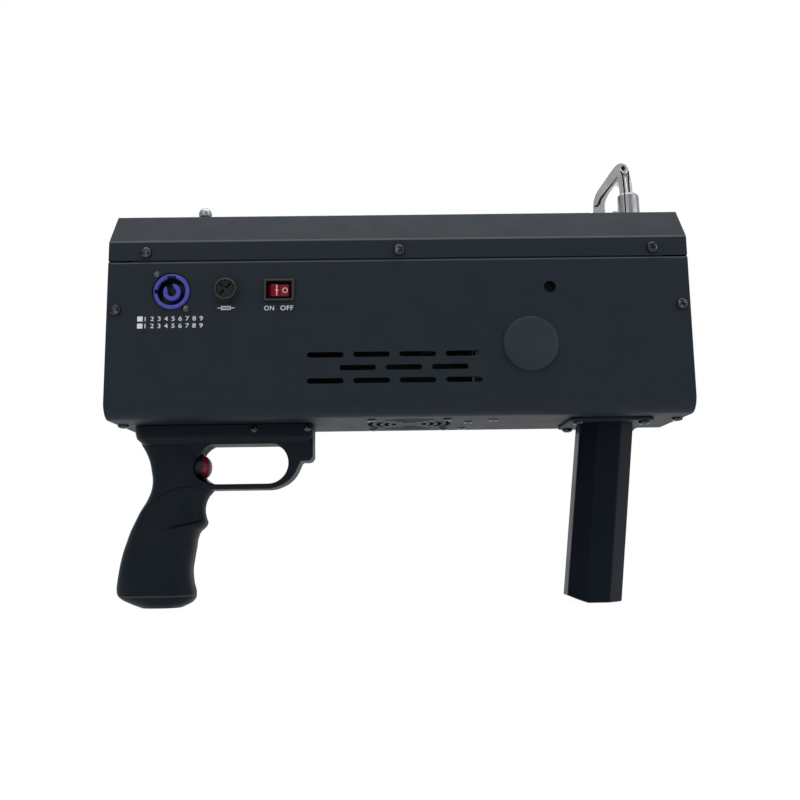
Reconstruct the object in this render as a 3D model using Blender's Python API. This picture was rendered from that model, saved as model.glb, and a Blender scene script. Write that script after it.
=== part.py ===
"""Hand-held cold spark machine: a folded sheet-metal case on a moulded pistol grip and an octagonal front grip.

X runs along the case with the nozzle at +X, the control side faces -Y and Z is up. The part stands on its two
grips at Z = 0. Sizes are in metres, written as millimetres times MM. Heights named *_HEIGHT are measured from
the underside of the case.
"""

import math

import bmesh
import bpy
import numpy as np
from mathutils import Matrix

MM = 0.001

# Fits
SEAT = 0.3 * MM  # gap between pieces that rest on each other or fit into each other
RUNNING = 0.3 * MM  # radial gap of a turning or sliding piece

# Sheet-metal case
CASE_LENGTH = 380 * MM
REAR_END = -CASE_LENGTH / 2
FRONT_END = CASE_LENGTH / 2
CASE_WIDTH = 94 * MM
CASE_HEIGHT = 140.6 * MM
CASE_BASE_Z = 121 * MM  # height of the case's underside above the surface the grips stand on
SHEET = 1.2 * MM
FLOOR_BEND = 11 * MM  # radius of the rounded long bottom edges
FOLD_BEND = 2 * MM
SEAM_HEIGHT = 103.7 * MM
SEAM_GAP = 0.8 * MM
COVER_FLANGE = 13.2 * MM
FOLD_HEIGHT = SEAM_HEIGHT + COVER_FLANGE  # where the cover's flange turns into its slope
SLOPE_DEPTH = 17.9 * MM
LIP_HEIGHT = 10.5 * MM  # joggled lip of the tray behind the cover's flange
LIP_END_CUT = 16 * MM
END_FLANGE = 13 * MM
END_FLANGE_FOOT = 14 * MM
END_FLANGE_TOP = SEAM_HEIGHT - 5.7 * MM

# Screws
SCREW_HEAD_RADIUS = 3.7 * MM
SCREW_HEAD_HEIGHT = 2.3 * MM
SCREW_SHANK_RADIUS = 1.7 * MM
SCREW_LENGTH = 6 * MM
SMALL_SCREW_HEAD_RADIUS = 2.4 * MM
SMALL_SCREW_HEAD_HEIGHT = 1.1 * MM
SMALL_SCREW_SHANK_RADIUS = 1.2 * MM
COVER_SCREW_X = (REAR_END + 24.5 * MM, 0.3 * MM, FRONT_END - 23 * MM)
COVER_SCREW_HEIGHT = SEAM_HEIGHT + 5.5 * MM
END_SCREW_INSET = 5.6 * MM
END_SCREW_HEIGHT = 70.8 * MM

# Control side
CONTROL_HEIGHT = SEAM_HEIGHT - 20.7 * MM
INLET_X = REAR_END + 41.8 * MM
INLET_RADIUS = 12.3 * MM
INLET_WALL = 3.2 * MM
INLET_DEPTH = 26 * MM
INLET_PROUD = 1.8 * MM
INLET_CORE_RADIUS = 5.85 * MM
INLET_CORE_WALL = 3.1 * MM
INLET_FLANGE = (26 * MM, 31 * MM)
INLET_SCREW_SPACING = (19.4 * MM, 23.2 * MM)
KEYWAY_WIDTH = 5.8 * MM
SIDE_KEYWAY_WIDTH = 3.0 * MM
FUSE_X = REAR_END + 77.6 * MM
FUSE_BARREL_RADIUS = 6.2 * MM
FUSE_FLANGE_RADIUS = 7.8 * MM
FUSE_CAP_RADIUS = 7.2 * MM
FUSE_CAP_HEIGHT = 4.4 * MM
FUSE_DEPTH = 32 * MM
FUSE_RADIUS = 2.6 * MM
FUSE_LENGTH = 20 * MM
SWITCH_X = REAR_END + 111.9 * MM
SWITCH_BEZEL = (20.2 * MM, 14.4 * MM)
SWITCH_BODY = (19.0 * MM, 12.8 * MM)
SWITCH_WINDOW = (16.2 * MM, 10.4 * MM)
SWITCH_DEPTH = 20 * MM
ROCKER_SIZE = (14.0 * MM, 9.6 * MM)
ROCKER_TILT = math.radians(10)
ROCKER_PIN_RADIUS = 1.2 * MM

# Vents, pilot hole and filler plug
VENT_SIZE = (23.6 * MM, 3.6 * MM)
VENT_PITCH = 29.8 * MM
VENT_X = FRONT_END - 238.2 * MM  # first slot of the long rows
VENT_SHIFT = 20.9 * MM  # first slot of the short row, from there
VENT_HEIGHTS = (39.8 * MM, 31.2 * MM, 22.7 * MM)
VENT_COUNTS = (4, 3, 4)
PILOT_X = FRONT_END - 91.4 * MM
PILOT_HEIGHT = SEAM_HEIGHT - 20.3 * MM
PILOT_RADIUS = 4 * MM
PLUG_X = FRONT_END - 105.2 * MM
PLUG_RADIUS = 18.2 * MM
PLUG_SKIRT_RADIUS = 16 * MM
PLUG_SKIRT_LENGTH = 8 * MM
PLUG_WALL = 1.5 * MM

# Granule feed: hopper, auger, gears and motor on one axis height
NOZZLE_HEIGHT = 43 * MM
HOPPER_X = (FRONT_END - 129 * MM, FRONT_END - 81 * MM)
HOPPER_NEAR_Y = -34.5 * MM
HOPPER_FAR_Y = 24 * MM
HOPPER_TOP = SEAM_HEIGHT - 7.7 * MM
HOPPER_WALL = 1.5 * MM
PORT_RADIUS = 10.5 * MM
AUGER_RADIUS = 7.5 * MM
AUGER_SHAFT_RADIUS = 2.5 * MM
AUGER_PITCH = 14 * MM
AUGER_BLADE = 1.6 * MM
FEED_TUBE_RADIUS = 9.8 * MM
GEAR_MODULE = 1.4 * MM
AUGER_TEETH = 20
PINION_TEETH = 10
GEAR_FACE = 5 * MM
GEAR_BACKLASH = 0.25 * MM
MOTOR_RADIUS = 14 * MM
MOTOR_LENGTH = 34 * MM
MOTOR_BRACKET_X = FRONT_END - 141 * MM

# Heater and nozzle
NOZZLE_RADIUS = 15 * MM
NOZZLE_BORE = 12 * MM
NOZZLE_BACK_X = FRONT_END - 65 * MM
JACKET_RADIUS = 26 * MM
JACKET_X = (FRONT_END - 56 * MM, FRONT_END - 10 * MM)
SADDLE_X = (FRONT_END - 24 * MM, FRONT_END - 12 * MM)
SADDLE_FOOT = 30 * MM
SADDLE_WEB = 20 * MM

# Fan on the case floor
FAN_X = FRONT_END - 184 * MM
FAN_SIZE = 60 * MM
FAN_DEPTH = 15 * MM
FAN_BORE = 28 * MM
FAN_HUB_RADIUS = 11 * MM
FAN_BLADES = 7
FAN_SCREW_SPACING = 50 * MM
GRILLE_RADII = (10.5 * MM, 16 * MM, 21.5 * MM, 27 * MM)
GRILLE_SLOT = 3 * MM
GRILLE_BRIDGE = 3.5 * MM

# Electronics
SUPPLY_X = (REAR_END + 12 * MM, REAR_END + 108 * MM)
SUPPLY_WIDTH = 62 * MM
SUPPLY_HEIGHT = 32 * MM
SUPPLY_FOOT = 5 * MM
BOARD_X = (FRONT_END - 258 * MM, FRONT_END - 128 * MM)
BOARD_HEIGHTS = (18 * MM, SEAM_HEIGHT - 7.7 * MM)
BOARD_GAP = 6 * MM

# Pistol grip
RAIL_X = (REAR_END + 9.5 * MM, REAR_END + 131.2 * MM)
RAIL_ROUNDS = (9 * MM, 4.5 * MM)  # upright corners at the rear and at the front
RAIL_HALF_WIDTH = 14 * MM
RAIL_DEPTH = 12.5 * MM
RAIL_BEVEL = 3.5 * MM
GUARD_HALF_WIDTH = 10.5 * MM
GUARD_BAR = 2.9 * MM
FINGER_GAP_X = (REAR_END + 53 * MM, REAR_END + 114 * MM)
FINGER_GAP_HEIGHT = 27.6 * MM
TRIGGER_HEIGHT = -28 * MM
TRIGGER_TRAVEL = 3 * MM
COLLAR_RADIUS = 8.6 * MM
COLLAR_WALL = 0.8 * MM
COLLAR_FRONT_X = REAR_END + 55.7 * MM
COLLAR_BACK_X = COLLAR_FRONT_X - 25.7 * MM
BUTTON_TIP_X = COLLAR_FRONT_X + 5.2 * MM
SCOOP_X = COLLAR_FRONT_X + 3 * MM  # round hollow beside the collar, on each side of the handle
SCOOP_HEIGHT = -27.5 * MM
SCOOP_RADIUS = 11.8 * MM
SCOOP_CORE = 7.2 * MM  # half width that it leaves

# Front grip
COLUMN_RADIUS = 19.7 * MM
COLUMN_TOP_X = FRONT_END - 49 * MM
COLUMN_FOOT_X = COLUMN_TOP_X - 14.2 * MM
COLUMN_CHAMFER = 1 * MM
COLUMN_HEEL = (12 * MM, 4.8 * MM)
COLUMN_FLANGE = (56 * MM, 52 * MM)
COLUMN_FLANGE_THICKNESS = 2 * MM
COLUMN_SCREW_SPACING = (44 * MM, 40 * MM)

# Strap stud and snap hook
STUD_X = REAR_END + 52.8 * MM
HOOK_X = FRONT_END - 24.5 * MM
STUD_BALL_RADIUS = 4.4 * MM
STUD_BALL_HEIGHT = 13.6 * MM  # ball centre above the cover
STUD_NECK_RADIUS = 2.8 * MM
STUD_FLANGE_RADIUS = 8.5 * MM
STUD_FLANGE_THICKNESS = 2.2 * MM
HOOK_BAR = (9.2 * MM, 7.6 * MM)
HOOK_BLOCK_WIDTH = 16.4 * MM
HOOK_BLOCK_DEPTH = 13 * MM
GATE_PIN_RADIUS = 1.1 * MM


def clear_scene():
    for obj in list(bpy.data.objects):
        bpy.data.objects.remove(obj)


def make_finish(name, colour, roughness, metallic=0.0):
    """A Principled material; colour is linear RGB."""
    finish = bpy.data.materials.new(name)
    finish.use_nodes = True
    shader = finish.node_tree.nodes["Principled BSDF"]
    shader.inputs["Base Color"].default_value = (*colour, 1.0)
    shader.inputs["Roughness"].default_value = roughness
    shader.inputs["Metallic"].default_value = metallic
    finish.diffuse_color = (*colour, 1.0)
    return finish


# Outlines


def round_corners(points, radii, closed=True, steps=4):
    """The 2D outline with each corner turned into an arc; a radius of 0 keeps the corner sharp."""
    if not hasattr(radii, "__len__"):
        radii = [radii] * len(points)
    rounded = []
    for index, (corner, radius) in enumerate(zip(points, radii)):
        corner = np.array(corner, float)
        at_end = not closed and index in (0, len(points) - 1)
        if radius <= 0 or at_end:
            rounded.append(tuple(corner))
            continue
        back = np.array(points[index - 1], float) - corner
        ahead = np.array(points[(index + 1) % len(points)], float) - corner
        back /= np.linalg.norm(back)
        ahead /= np.linalg.norm(ahead)
        half_angle = math.acos(np.clip(back @ ahead, -1, 1)) / 2
        centre = corner + (back + ahead) / np.linalg.norm(back + ahead) * radius / math.sin(half_angle)
        start = corner + back * radius / math.tan(half_angle) - centre
        end = corner + ahead * radius / math.tan(half_angle) - centre
        sweep = math.pi - 2 * half_angle
        for step in range(steps + 1):
            share = step / steps
            blend = start * math.sin((1 - share) * sweep) + end * math.sin(share * sweep)
            rounded.append(tuple(centre + blend / math.sin(sweep)))
    return rounded


def offset_outline(points, distance, closed=True):
    """The outline moved to its left side by the distance, with mitred corners."""
    points = np.array(points, float)
    count = len(points)
    moved = []
    for index in range(count):
        before = points[index - 1] if closed or index else None
        after = points[(index + 1) % count] if closed or index < count - 1 else None
        normals = []
        for start, end in ((before, points[index]), (points[index], after)):
            if start is not None and end is not None:
                along = (end - start) / np.linalg.norm(end - start)
                normals.append(np.array((-along[1], along[0])))
        mitre = sum(normals)
        mitre = mitre / (1 + normals[0] @ normals[-1]) if len(normals) == 2 else mitre
        moved.append(tuple(points[index] + mitre * distance))
    return moved


def circle(radius, segments=24, centre=(0, 0), phase=0.0):
    angles = [phase + 2 * math.pi * step / segments for step in range(segments)]
    return [(centre[0] + radius * math.cos(a), centre[1] + radius * math.sin(a)) for a in angles]


def rectangle(width, height, centre=(0, 0), radius=0.0, steps=3):
    x, y = width / 2, height / 2
    corners = [(-x, -y), (x, -y), (x, y), (-x, y)]
    corners = [(centre[0] + a, centre[1] + b) for a, b in corners]
    return round_corners(corners, radius, steps=steps) if radius else corners


def stadium(length, height, centre=(0, 0), steps=1):
    """A slot with half-round ends."""
    return rectangle(length, height, centre, radius=height / 2 * 0.999, steps=steps)


# Solids


def prism(outline, axis, start, end):
    """A closed prism: the outline holds (y, z) for axis X, (x, z) for axis Y and (x, y) for axis Z."""
    place = {
        "X": lambda p, d: (d, p[0], p[1]),
        "Y": lambda p, d: (p[0], d, p[1]),
        "Z": lambda p, d: (p[0], p[1], d),
    }[axis]
    return loft([[place(p, start) for p in outline], [place(p, end) for p in outline]])


def block(x, y, z):
    """A box between the given pairs of limits."""
    return prism([(x[0], y[0]), (x[1], y[0]), (x[1], y[1]), (x[0], y[1])], "Z", z[0], z[1])


def loft(rings, capped=True):
    """Skins rings of equal point count and caps the two ends, or joins the last ring to the first."""
    solid = bmesh.new()
    rows = [[solid.verts.new(point) for point in ring] for ring in rings]
    pairs = list(zip(rows, rows[1:])) if capped else list(zip(rows, rows[1:] + rows[:1]))
    for row, following in pairs:
        for index in range(len(row)):
            ahead = (index + 1) % len(row)
            solid.faces.new((row[index], row[ahead], following[ahead], following[index]))
    if capped:
        solid.faces.new(rows[0][::-1])
        solid.faces.new(rows[-1])
    bmesh.ops.recalc_face_normals(solid, faces=solid.faces)
    return solid


def turned(profile, segments=24):
    """Turns a closed loop of (radius, height) points about Z; points of radius 0 become poles."""
    solid = bmesh.new()
    rows = []
    for radius, height in profile:
        if radius <= 0:
            rows.append([solid.verts.new((0, 0, height))] * segments)
            continue
        rows.append([solid.verts.new((x, y, height)) for x, y in circle(radius, segments)])
    for row, following in zip(rows, rows[1:] + rows[:1]):
        for index in range(segments):
            ahead = (index + 1) % segments
            corners = (row[index], row[ahead], following[ahead], following[index])
            corners = [c for i, c in enumerate(corners) if c not in corners[:i]]
            if len(corners) > 2:
                solid.faces.new(corners)
    bmesh.ops.recalc_face_normals(solid, faces=solid.faces)
    return solid


def cylinder(radius, start, end, segments=24):
    return turned([(0, start), (radius, start), (radius, end), (0, end)], segments)


def moved(solid, at=(0, 0, 0), facing="Z"):
    """Turns the solid's Z axis to face the named way, then moves it."""
    turn = {
        "Z": Matrix(),
        "X": Matrix.Rotation(math.pi / 2, 4, "Y"),
        "-Y": Matrix.Rotation(math.pi / 2, 4, "X"),
        "Y": Matrix.Rotation(-math.pi / 2, 4, "X"),
        "-Z": Matrix.Rotation(math.pi, 4, "X"),
    }[facing]
    bmesh.ops.transform(solid, matrix=Matrix.Translation(at) @ turn, verts=solid.verts)
    return solid


def merged(solids):
    """One bmesh that holds all the given ones."""
    whole = bmesh.new()
    for solid in solids:
        piece = bpy.data.meshes.new("piece")
        solid.to_mesh(piece)
        whole.from_mesh(piece)
        bpy.data.meshes.remove(piece)
    return whole


# Objects


def add_part(name, solid, finish, origin=(0, 0, 0), parent=None):
    """Makes the solid a named object whose origin is the given point."""
    bmesh.ops.transform(solid, matrix=Matrix.Translation([-c for c in origin]), verts=solid.verts)
    bmesh.ops.recalc_face_normals(solid, faces=solid.faces)
    mesh = bpy.data.meshes.new(name)
    solid.to_mesh(mesh)
    mesh.materials.append(finish)
    mesh.shade_smooth()
    mesh.set_sharp_from_angle(angle=math.radians(35))
    part = bpy.data.objects.new(name, mesh)
    part.location = origin
    bpy.context.collection.objects.link(part)
    if parent:
        part.parent = parent
    return part


def shape(part, operation, solids):
    """Adds a Boolean to the part with a hidden tool made of the given solids."""
    tool_mesh = bpy.data.meshes.new(part.name + "_tool")
    merged(solids).to_mesh(tool_mesh)
    tool = bpy.data.objects.new(part.name + "_tool", tool_mesh)
    tool.hide_render = True
    tool.display_type = "WIRE"
    bpy.context.collection.objects.link(tool)
    step = part.modifiers.new(operation.lower(), "BOOLEAN")
    step.operation = operation
    step.object = tool
    step.solver = "EXACT"
    return part


def cut(part, solids):
    return shape(part, "DIFFERENCE", solids)


def join(part, solids):
    return shape(part, "UNION", solids)


def from_case(height):
    """World height of something measured from the case's underside."""
    return CASE_BASE_Z + height


def side_y(side):
    """Outer face of the near (-1) or far (+1) side wall."""
    return side * CASE_WIDTH / 2


def outward(side):
    return "-Y" if side < 0 else "Y"


# Case


def case_outline():
    """Outer section of the whole case, anticlockwise from its bottom near corner."""
    half, top = CASE_WIDTH / 2, CASE_WIDTH / 2 - SLOPE_DEPTH
    corners = [
        (-half, 0),
        (half, 0),
        (half, FOLD_HEIGHT),
        (top, CASE_HEIGHT),
        (-top, CASE_HEIGHT),
        (-half, FOLD_HEIGHT),
    ]
    bends = [FLOOR_BEND, FLOOR_BEND] + [FOLD_BEND] * 4
    return [(y, from_case(z)) for y, z in round_corners(corners, bends)]


def folded_sheet(path, radii, steps):
    """Closed section of one folded sheet whose outer face follows the path, with the metal on its left."""
    outer = round_corners(path, radii, closed=False, steps=steps)
    return outer + offset_outline(outer, SHEET, closed=False)[::-1]


def lower_tray(finish):
    half = CASE_WIDTH / 2
    lip = half - SHEET - SEAT
    seam = SEAM_HEIGHT - SEAM_GAP / 2
    near = [(-lip, seam + LIP_HEIGHT), (-lip, seam), (-half, seam), (-half, 0)]
    path = near + [(-y, z) for y, z in near[::-1]]
    radii = [0, 0, 0, FLOOR_BEND, FLOOR_BEND, 0, 0, 0]
    section = [(y, from_case(z)) for y, z in folded_sheet(path, radii, 6)]
    tray = add_part("lower_tray", prism(section, "X", -CASE_LENGTH / 2, CASE_LENGTH / 2), finish)
    cutters = lip_end_cutters() + control_side_cutters() + floor_cutters()
    for side in (-1, 1):
        cutters += vent_cutters(side) + wall_screw_holes(side)
    return cut(tray, cutters)


def lip_end_cutters():
    """The lip stops short of both ends, so that the end plates fit in."""
    seam = from_case(SEAM_HEIGHT)
    cutters = []
    for side in (-1, 1):
        for end in (-1, 1):
            x = sorted((end * (CASE_LENGTH / 2 - LIP_END_CUT), end * CASE_LENGTH))
            y = sorted((side * (CASE_WIDTH / 2 - 3 * SHEET), side * (CASE_WIDTH / 2 - SHEET)))
            cutters.append(block(x, y, (seam - 3 * SHEET, seam + 2 * LIP_HEIGHT)))
    return cutters


def wall_hole(x, height, radius, side=-1, segments=24):
    """A round cutter straight through one side wall."""
    hole = cylinder(radius, -3 * SHEET, 3 * SHEET, segments)
    return moved(hole, (x, side_y(side), from_case(height)), outward(side))


def control_side_cutters():
    return [
        wall_hole(INLET_X, CONTROL_HEIGHT, INLET_RADIUS + SEAT, segments=24),
        wall_hole(FUSE_X, CONTROL_HEIGHT, FUSE_BARREL_RADIUS + SEAT),
        wall_hole(PILOT_X, PILOT_HEIGHT, PILOT_RADIUS),
        wall_hole(PLUG_X, plug_height(), PLUG_SKIRT_RADIUS + SEAT, segments=28),
        prism(
            rectangle(
                SWITCH_BODY[0] + 2 * SEAT, SWITCH_BODY[1] + 2 * SEAT, (SWITCH_X, from_case(CONTROL_HEIGHT))
            ),
            "Y",
            side_y(-1) - 3 * SHEET,
            side_y(-1) + 3 * SHEET,
        ),
    ] + [wall_hole(x, z, SMALL_SCREW_SHANK_RADIUS + SEAT, segments=8) for x, z in inlet_screw_places()]


def inlet_screw_places():
    dx, dz = INLET_SCREW_SPACING[0] / 2, INLET_SCREW_SPACING[1] / 2
    return [(INLET_X - dx, CONTROL_HEIGHT + dz), (INLET_X + dx, CONTROL_HEIGHT - dz)]


def vent_cutters(side):
    cutters = []
    for height, count in zip(VENT_HEIGHTS, VENT_COUNTS):
        first_x = VENT_X + (VENT_SHIFT if count < max(VENT_COUNTS) else 0)
        for index in range(count):
            slot = stadium(*VENT_SIZE, (first_x + index * VENT_PITCH, from_case(height)))
            cutters.append(prism(slot, "Y", side_y(side) - 3 * SHEET, side_y(side) + 3 * SHEET))
    return cutters


def wall_screw_holes(side):
    """Holes of the cover screws through the lip and of the end screws through the tray wall."""
    radius = SCREW_SHANK_RADIUS + SEAT
    holes = [wall_hole(x, COVER_SCREW_HEIGHT, radius, side, 8) for x in COVER_SCREW_X]
    return holes + [wall_hole(x, END_SCREW_HEIGHT, radius, side, 8) for x in end_screw_x()]


def end_screw_x():
    return (-CASE_LENGTH / 2 + END_SCREW_INSET, CASE_LENGTH / 2 - END_SCREW_INSET)


def floor_cutters():
    """Fan grille, fan screws and front grip screws in the case floor."""
    span = (from_case(-3 * SHEET), from_case(3 * SHEET))
    cutters = []
    for radius in GRILLE_RADII:
        half_gap = math.asin(GRILLE_BRIDGE / 2 / radius) + GRILLE_SLOT / 2 / radius
        for quarter in range(4):
            start = math.pi / 4 + quarter * math.pi / 2 + half_gap
            end = start + math.pi / 2 - 2 * half_gap
            cutters.append(prism(arc_slot(radius, start, end), "Z", *span))
    for x, y in fan_screw_places():
        cutters.append(prism(circle(SCREW_SHANK_RADIUS + SEAT, 8, (x, y)), "Z", *span))
    for x, y in column_screw_places():
        cutters.append(prism(circle(SCREW_SHANK_RADIUS + SEAT, 8, (x, y)), "Z", *span))
    return cutters


def arc_slot(radius, start, end, steps=4):
    """A slot of the fan grille that follows an arc."""
    angles = np.linspace(start, end, steps)
    ends = (radius - GRILLE_SLOT / 2, radius + GRILLE_SLOT / 2)
    inner = [(FAN_X + ends[0] * math.cos(a), ends[0] * math.sin(a)) for a in angles]
    outer = [(FAN_X + ends[1] * math.cos(a), ends[1] * math.sin(a)) for a in angles]
    return outer + inner[::-1]


def fan_screw_places():
    half = FAN_SCREW_SPACING / 2
    return [(FAN_X + a * half, b * half) for a in (-1, 1) for b in (-1, 1)]


def column_screw_places():
    half_x, half_y = COLUMN_SCREW_SPACING[0] / 2, COLUMN_SCREW_SPACING[1] / 2
    return [(COLUMN_TOP_X + a * half_x, b * half_y) for a in (-1, 1) for b in (-1, 1)]


def top_cover(finish):
    half, top = CASE_WIDTH / 2, CASE_WIDTH / 2 - SLOPE_DEPTH
    edge = SEAM_HEIGHT + SEAM_GAP / 2
    path = [(half, edge), (half, FOLD_HEIGHT), (top, CASE_HEIGHT)]
    path += [(-y, z) for y, z in path[::-1]]
    section = [(y, from_case(z)) for y, z in folded_sheet(path, FOLD_BEND, 4)]
    cover = add_part("top_cover", prism(section, "X", -CASE_LENGTH / 2, CASE_LENGTH / 2), finish)
    cutters = []
    for side in (-1, 1):
        for x in COVER_SCREW_X:
            cutters.append(wall_hole(x, COVER_SCREW_HEIGHT, SCREW_SHANK_RADIUS + SEAT, side, 8))
    for x in (STUD_X, HOOK_X):
        stem = cylinder(STUD_NECK_RADIUS + SEAT, -3 * SHEET, 3 * SHEET, 16)
        cutters.append(moved(stem, (x, 0, from_case(CASE_HEIGHT))))
    return cut(cover, cutters)


def end_plate(name, end, finish):
    """A plate inside one end of the case, with a flange along each side wall for the end screws."""
    outer_x = end * CASE_LENGTH / 2
    inner_x = end * (CASE_LENGTH / 2 - SHEET)
    outline = offset_outline(case_outline(), SHEET + SEAT)
    plate = add_part(name, prism(outline, "X", outer_x, inner_x), finish)
    wall = CASE_WIDTH / 2 - SHEET - SEAT
    flanges = []
    holes = []
    for side in (-1, 1):
        x = sorted((outer_x, end * (CASE_LENGTH / 2 - END_FLANGE)))
        y = sorted((side * wall, side * (wall - SHEET)))
        flanges.append(block(x, y, (from_case(END_FLANGE_FOOT), from_case(END_FLANGE_TOP))))
        screw_x = end * (CASE_LENGTH / 2 - END_SCREW_INSET)
        holes.append(wall_hole(screw_x, END_SCREW_HEIGHT, SCREW_SHANK_RADIUS + SEAT, side, 8))
    if end > 0:
        opening = cylinder(NOZZLE_RADIUS + SEAT, -3 * SHEET, 3 * SHEET, 24)
        holes.append(moved(opening, (outer_x, 0, from_case(NOZZLE_HEIGHT)), "X"))
    join(plate, flanges)
    return cut(plate, holes)


# Screws


def pan_head_screw(head_radius, head_height, shank_radius, length, segments=12):
    """A domed head above Z = 0 and a plain shank below it."""
    crown = [
        (0, head_height),
        (head_radius * 0.68, head_height * 0.84),
        (head_radius, head_height * 0.25),
        (head_radius, 0),
    ]
    return turned(crown + [(shank_radius, 0), (shank_radius, -length), (0, -length)], segments)


def add_screw(name, at, facing, finish, small=False, length=SCREW_LENGTH):
    if small:
        solid = pan_head_screw(
            SMALL_SCREW_HEAD_RADIUS, SMALL_SCREW_HEAD_HEIGHT, SMALL_SCREW_SHANK_RADIUS, length, 10
        )
    else:
        solid = pan_head_screw(SCREW_HEAD_RADIUS, SCREW_HEAD_HEIGHT, SCREW_SHANK_RADIUS, length)
    return add_part(name, moved(solid, at, facing), finish, origin=at)


def wall_screws(finish):
    number = 0
    for side in (-1, 1):
        for x in COVER_SCREW_X:
            number += 1
            at = (x, side_y(side) + side * SEAT, from_case(COVER_SCREW_HEIGHT))
            add_screw(f"cover_screw_{number}", at, outward(side), finish)
    number = 0
    for side in (-1, 1):
        for x in end_screw_x():
            number += 1
            at = (x, side_y(side) + side * SEAT, from_case(END_SCREW_HEIGHT))
            add_screw(f"end_screw_{number}", at, outward(side), finish)


# Control side


def mains_inlet(shell_finish, core_finish, screw_finish):
    """Round chassis inlet: a keyed ring in front of the panel, its flange behind it and a slotted core inside."""
    bore = INLET_RADIUS - INLET_WALL
    floor = -INLET_DEPTH + 2 * MM
    at = (INLET_X, side_y(-1), from_case(CONTROL_HEIGHT))
    ring = turned(
        [
            (0, -INLET_DEPTH),
            (INLET_RADIUS, -INLET_DEPTH),
            (INLET_RADIUS, INLET_PROUD - 0.6 * MM),
            (INLET_RADIUS - 0.6 * MM, INLET_PROUD),
            (bore + 0.4 * MM, INLET_PROUD),
            (bore, INLET_PROUD - 0.4 * MM),
            (bore, floor),
            (0, floor),
        ],
        24,
    )
    shell = add_part("inlet_shell", moved(ring, at, "-Y"), shell_finish, origin=at)
    back = side_y(-1) + SHEET + SEAT
    flange = prism(rectangle(*INLET_FLANGE, (at[0], at[2]), radius=3 * MM), "Y", back, back + 2 * MM)
    join(shell, [flange])
    cut(shell, [moved(cylinder(bore, floor, 3 * INLET_PROUD, 24), at, "-Y")])
    key_y = (side_y(-1) - 2 * INLET_PROUD, side_y(-1) + 8 * MM)
    top_key = block(
        (at[0] - KEYWAY_WIDTH / 2, at[0] + KEYWAY_WIDTH / 2), key_y, (at[2], at[2] + INLET_RADIUS - 0.8 * MM)
    )
    side_key = block(
        (at[0] - bore - 1.5 * MM, at[0]), key_y, (at[2] - SIDE_KEYWAY_WIDTH / 2, at[2] + SIDE_KEYWAY_WIDTH / 2)
    )
    screw_radius = SMALL_SCREW_SHANK_RADIUS + SEAT
    cut(shell, [top_key])
    cut(shell, [side_key] + [wall_hole(x, z, screw_radius, segments=8) for x, z in inlet_screw_places()])

    core_bore = INLET_CORE_RADIUS - INLET_CORE_WALL
    foot = floor + SEAT
    core = turned(
        [
            (0, foot),
            (bore - SEAT, foot),
            (bore - SEAT, foot + 3 * MM),
            (INLET_CORE_RADIUS, foot + 3 * MM),
            (INLET_CORE_RADIUS, -1.5 * MM),
            (INLET_CORE_RADIUS - 0.5 * MM, -1 * MM),
            (core_bore + 0.5 * MM, -1 * MM),
            (core_bore, -1.5 * MM),
            (core_bore, foot + 3 * MM),
            (0, foot + 3 * MM),
        ],
        24,
    )
    slot = block(
        (at[0] - 2.1 * MM, at[0] + 2.1 * MM),
        (side_y(-1) - 2 * MM, side_y(-1) + 14 * MM),
        (at[2] + core_bore * 0.6, at[2] + 2 * INLET_CORE_RADIUS),
    )
    cut(add_part("inlet_core", moved(core, at, "-Y"), core_finish, origin=at), [slot])
    for number, (x, z) in enumerate(inlet_screw_places(), 1):
        place = (x, side_y(-1) - SEAT, from_case(z))
        add_screw(f"inlet_screw_{number}", place, "-Y", screw_finish, small=True, length=4.5 * MM)


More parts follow.
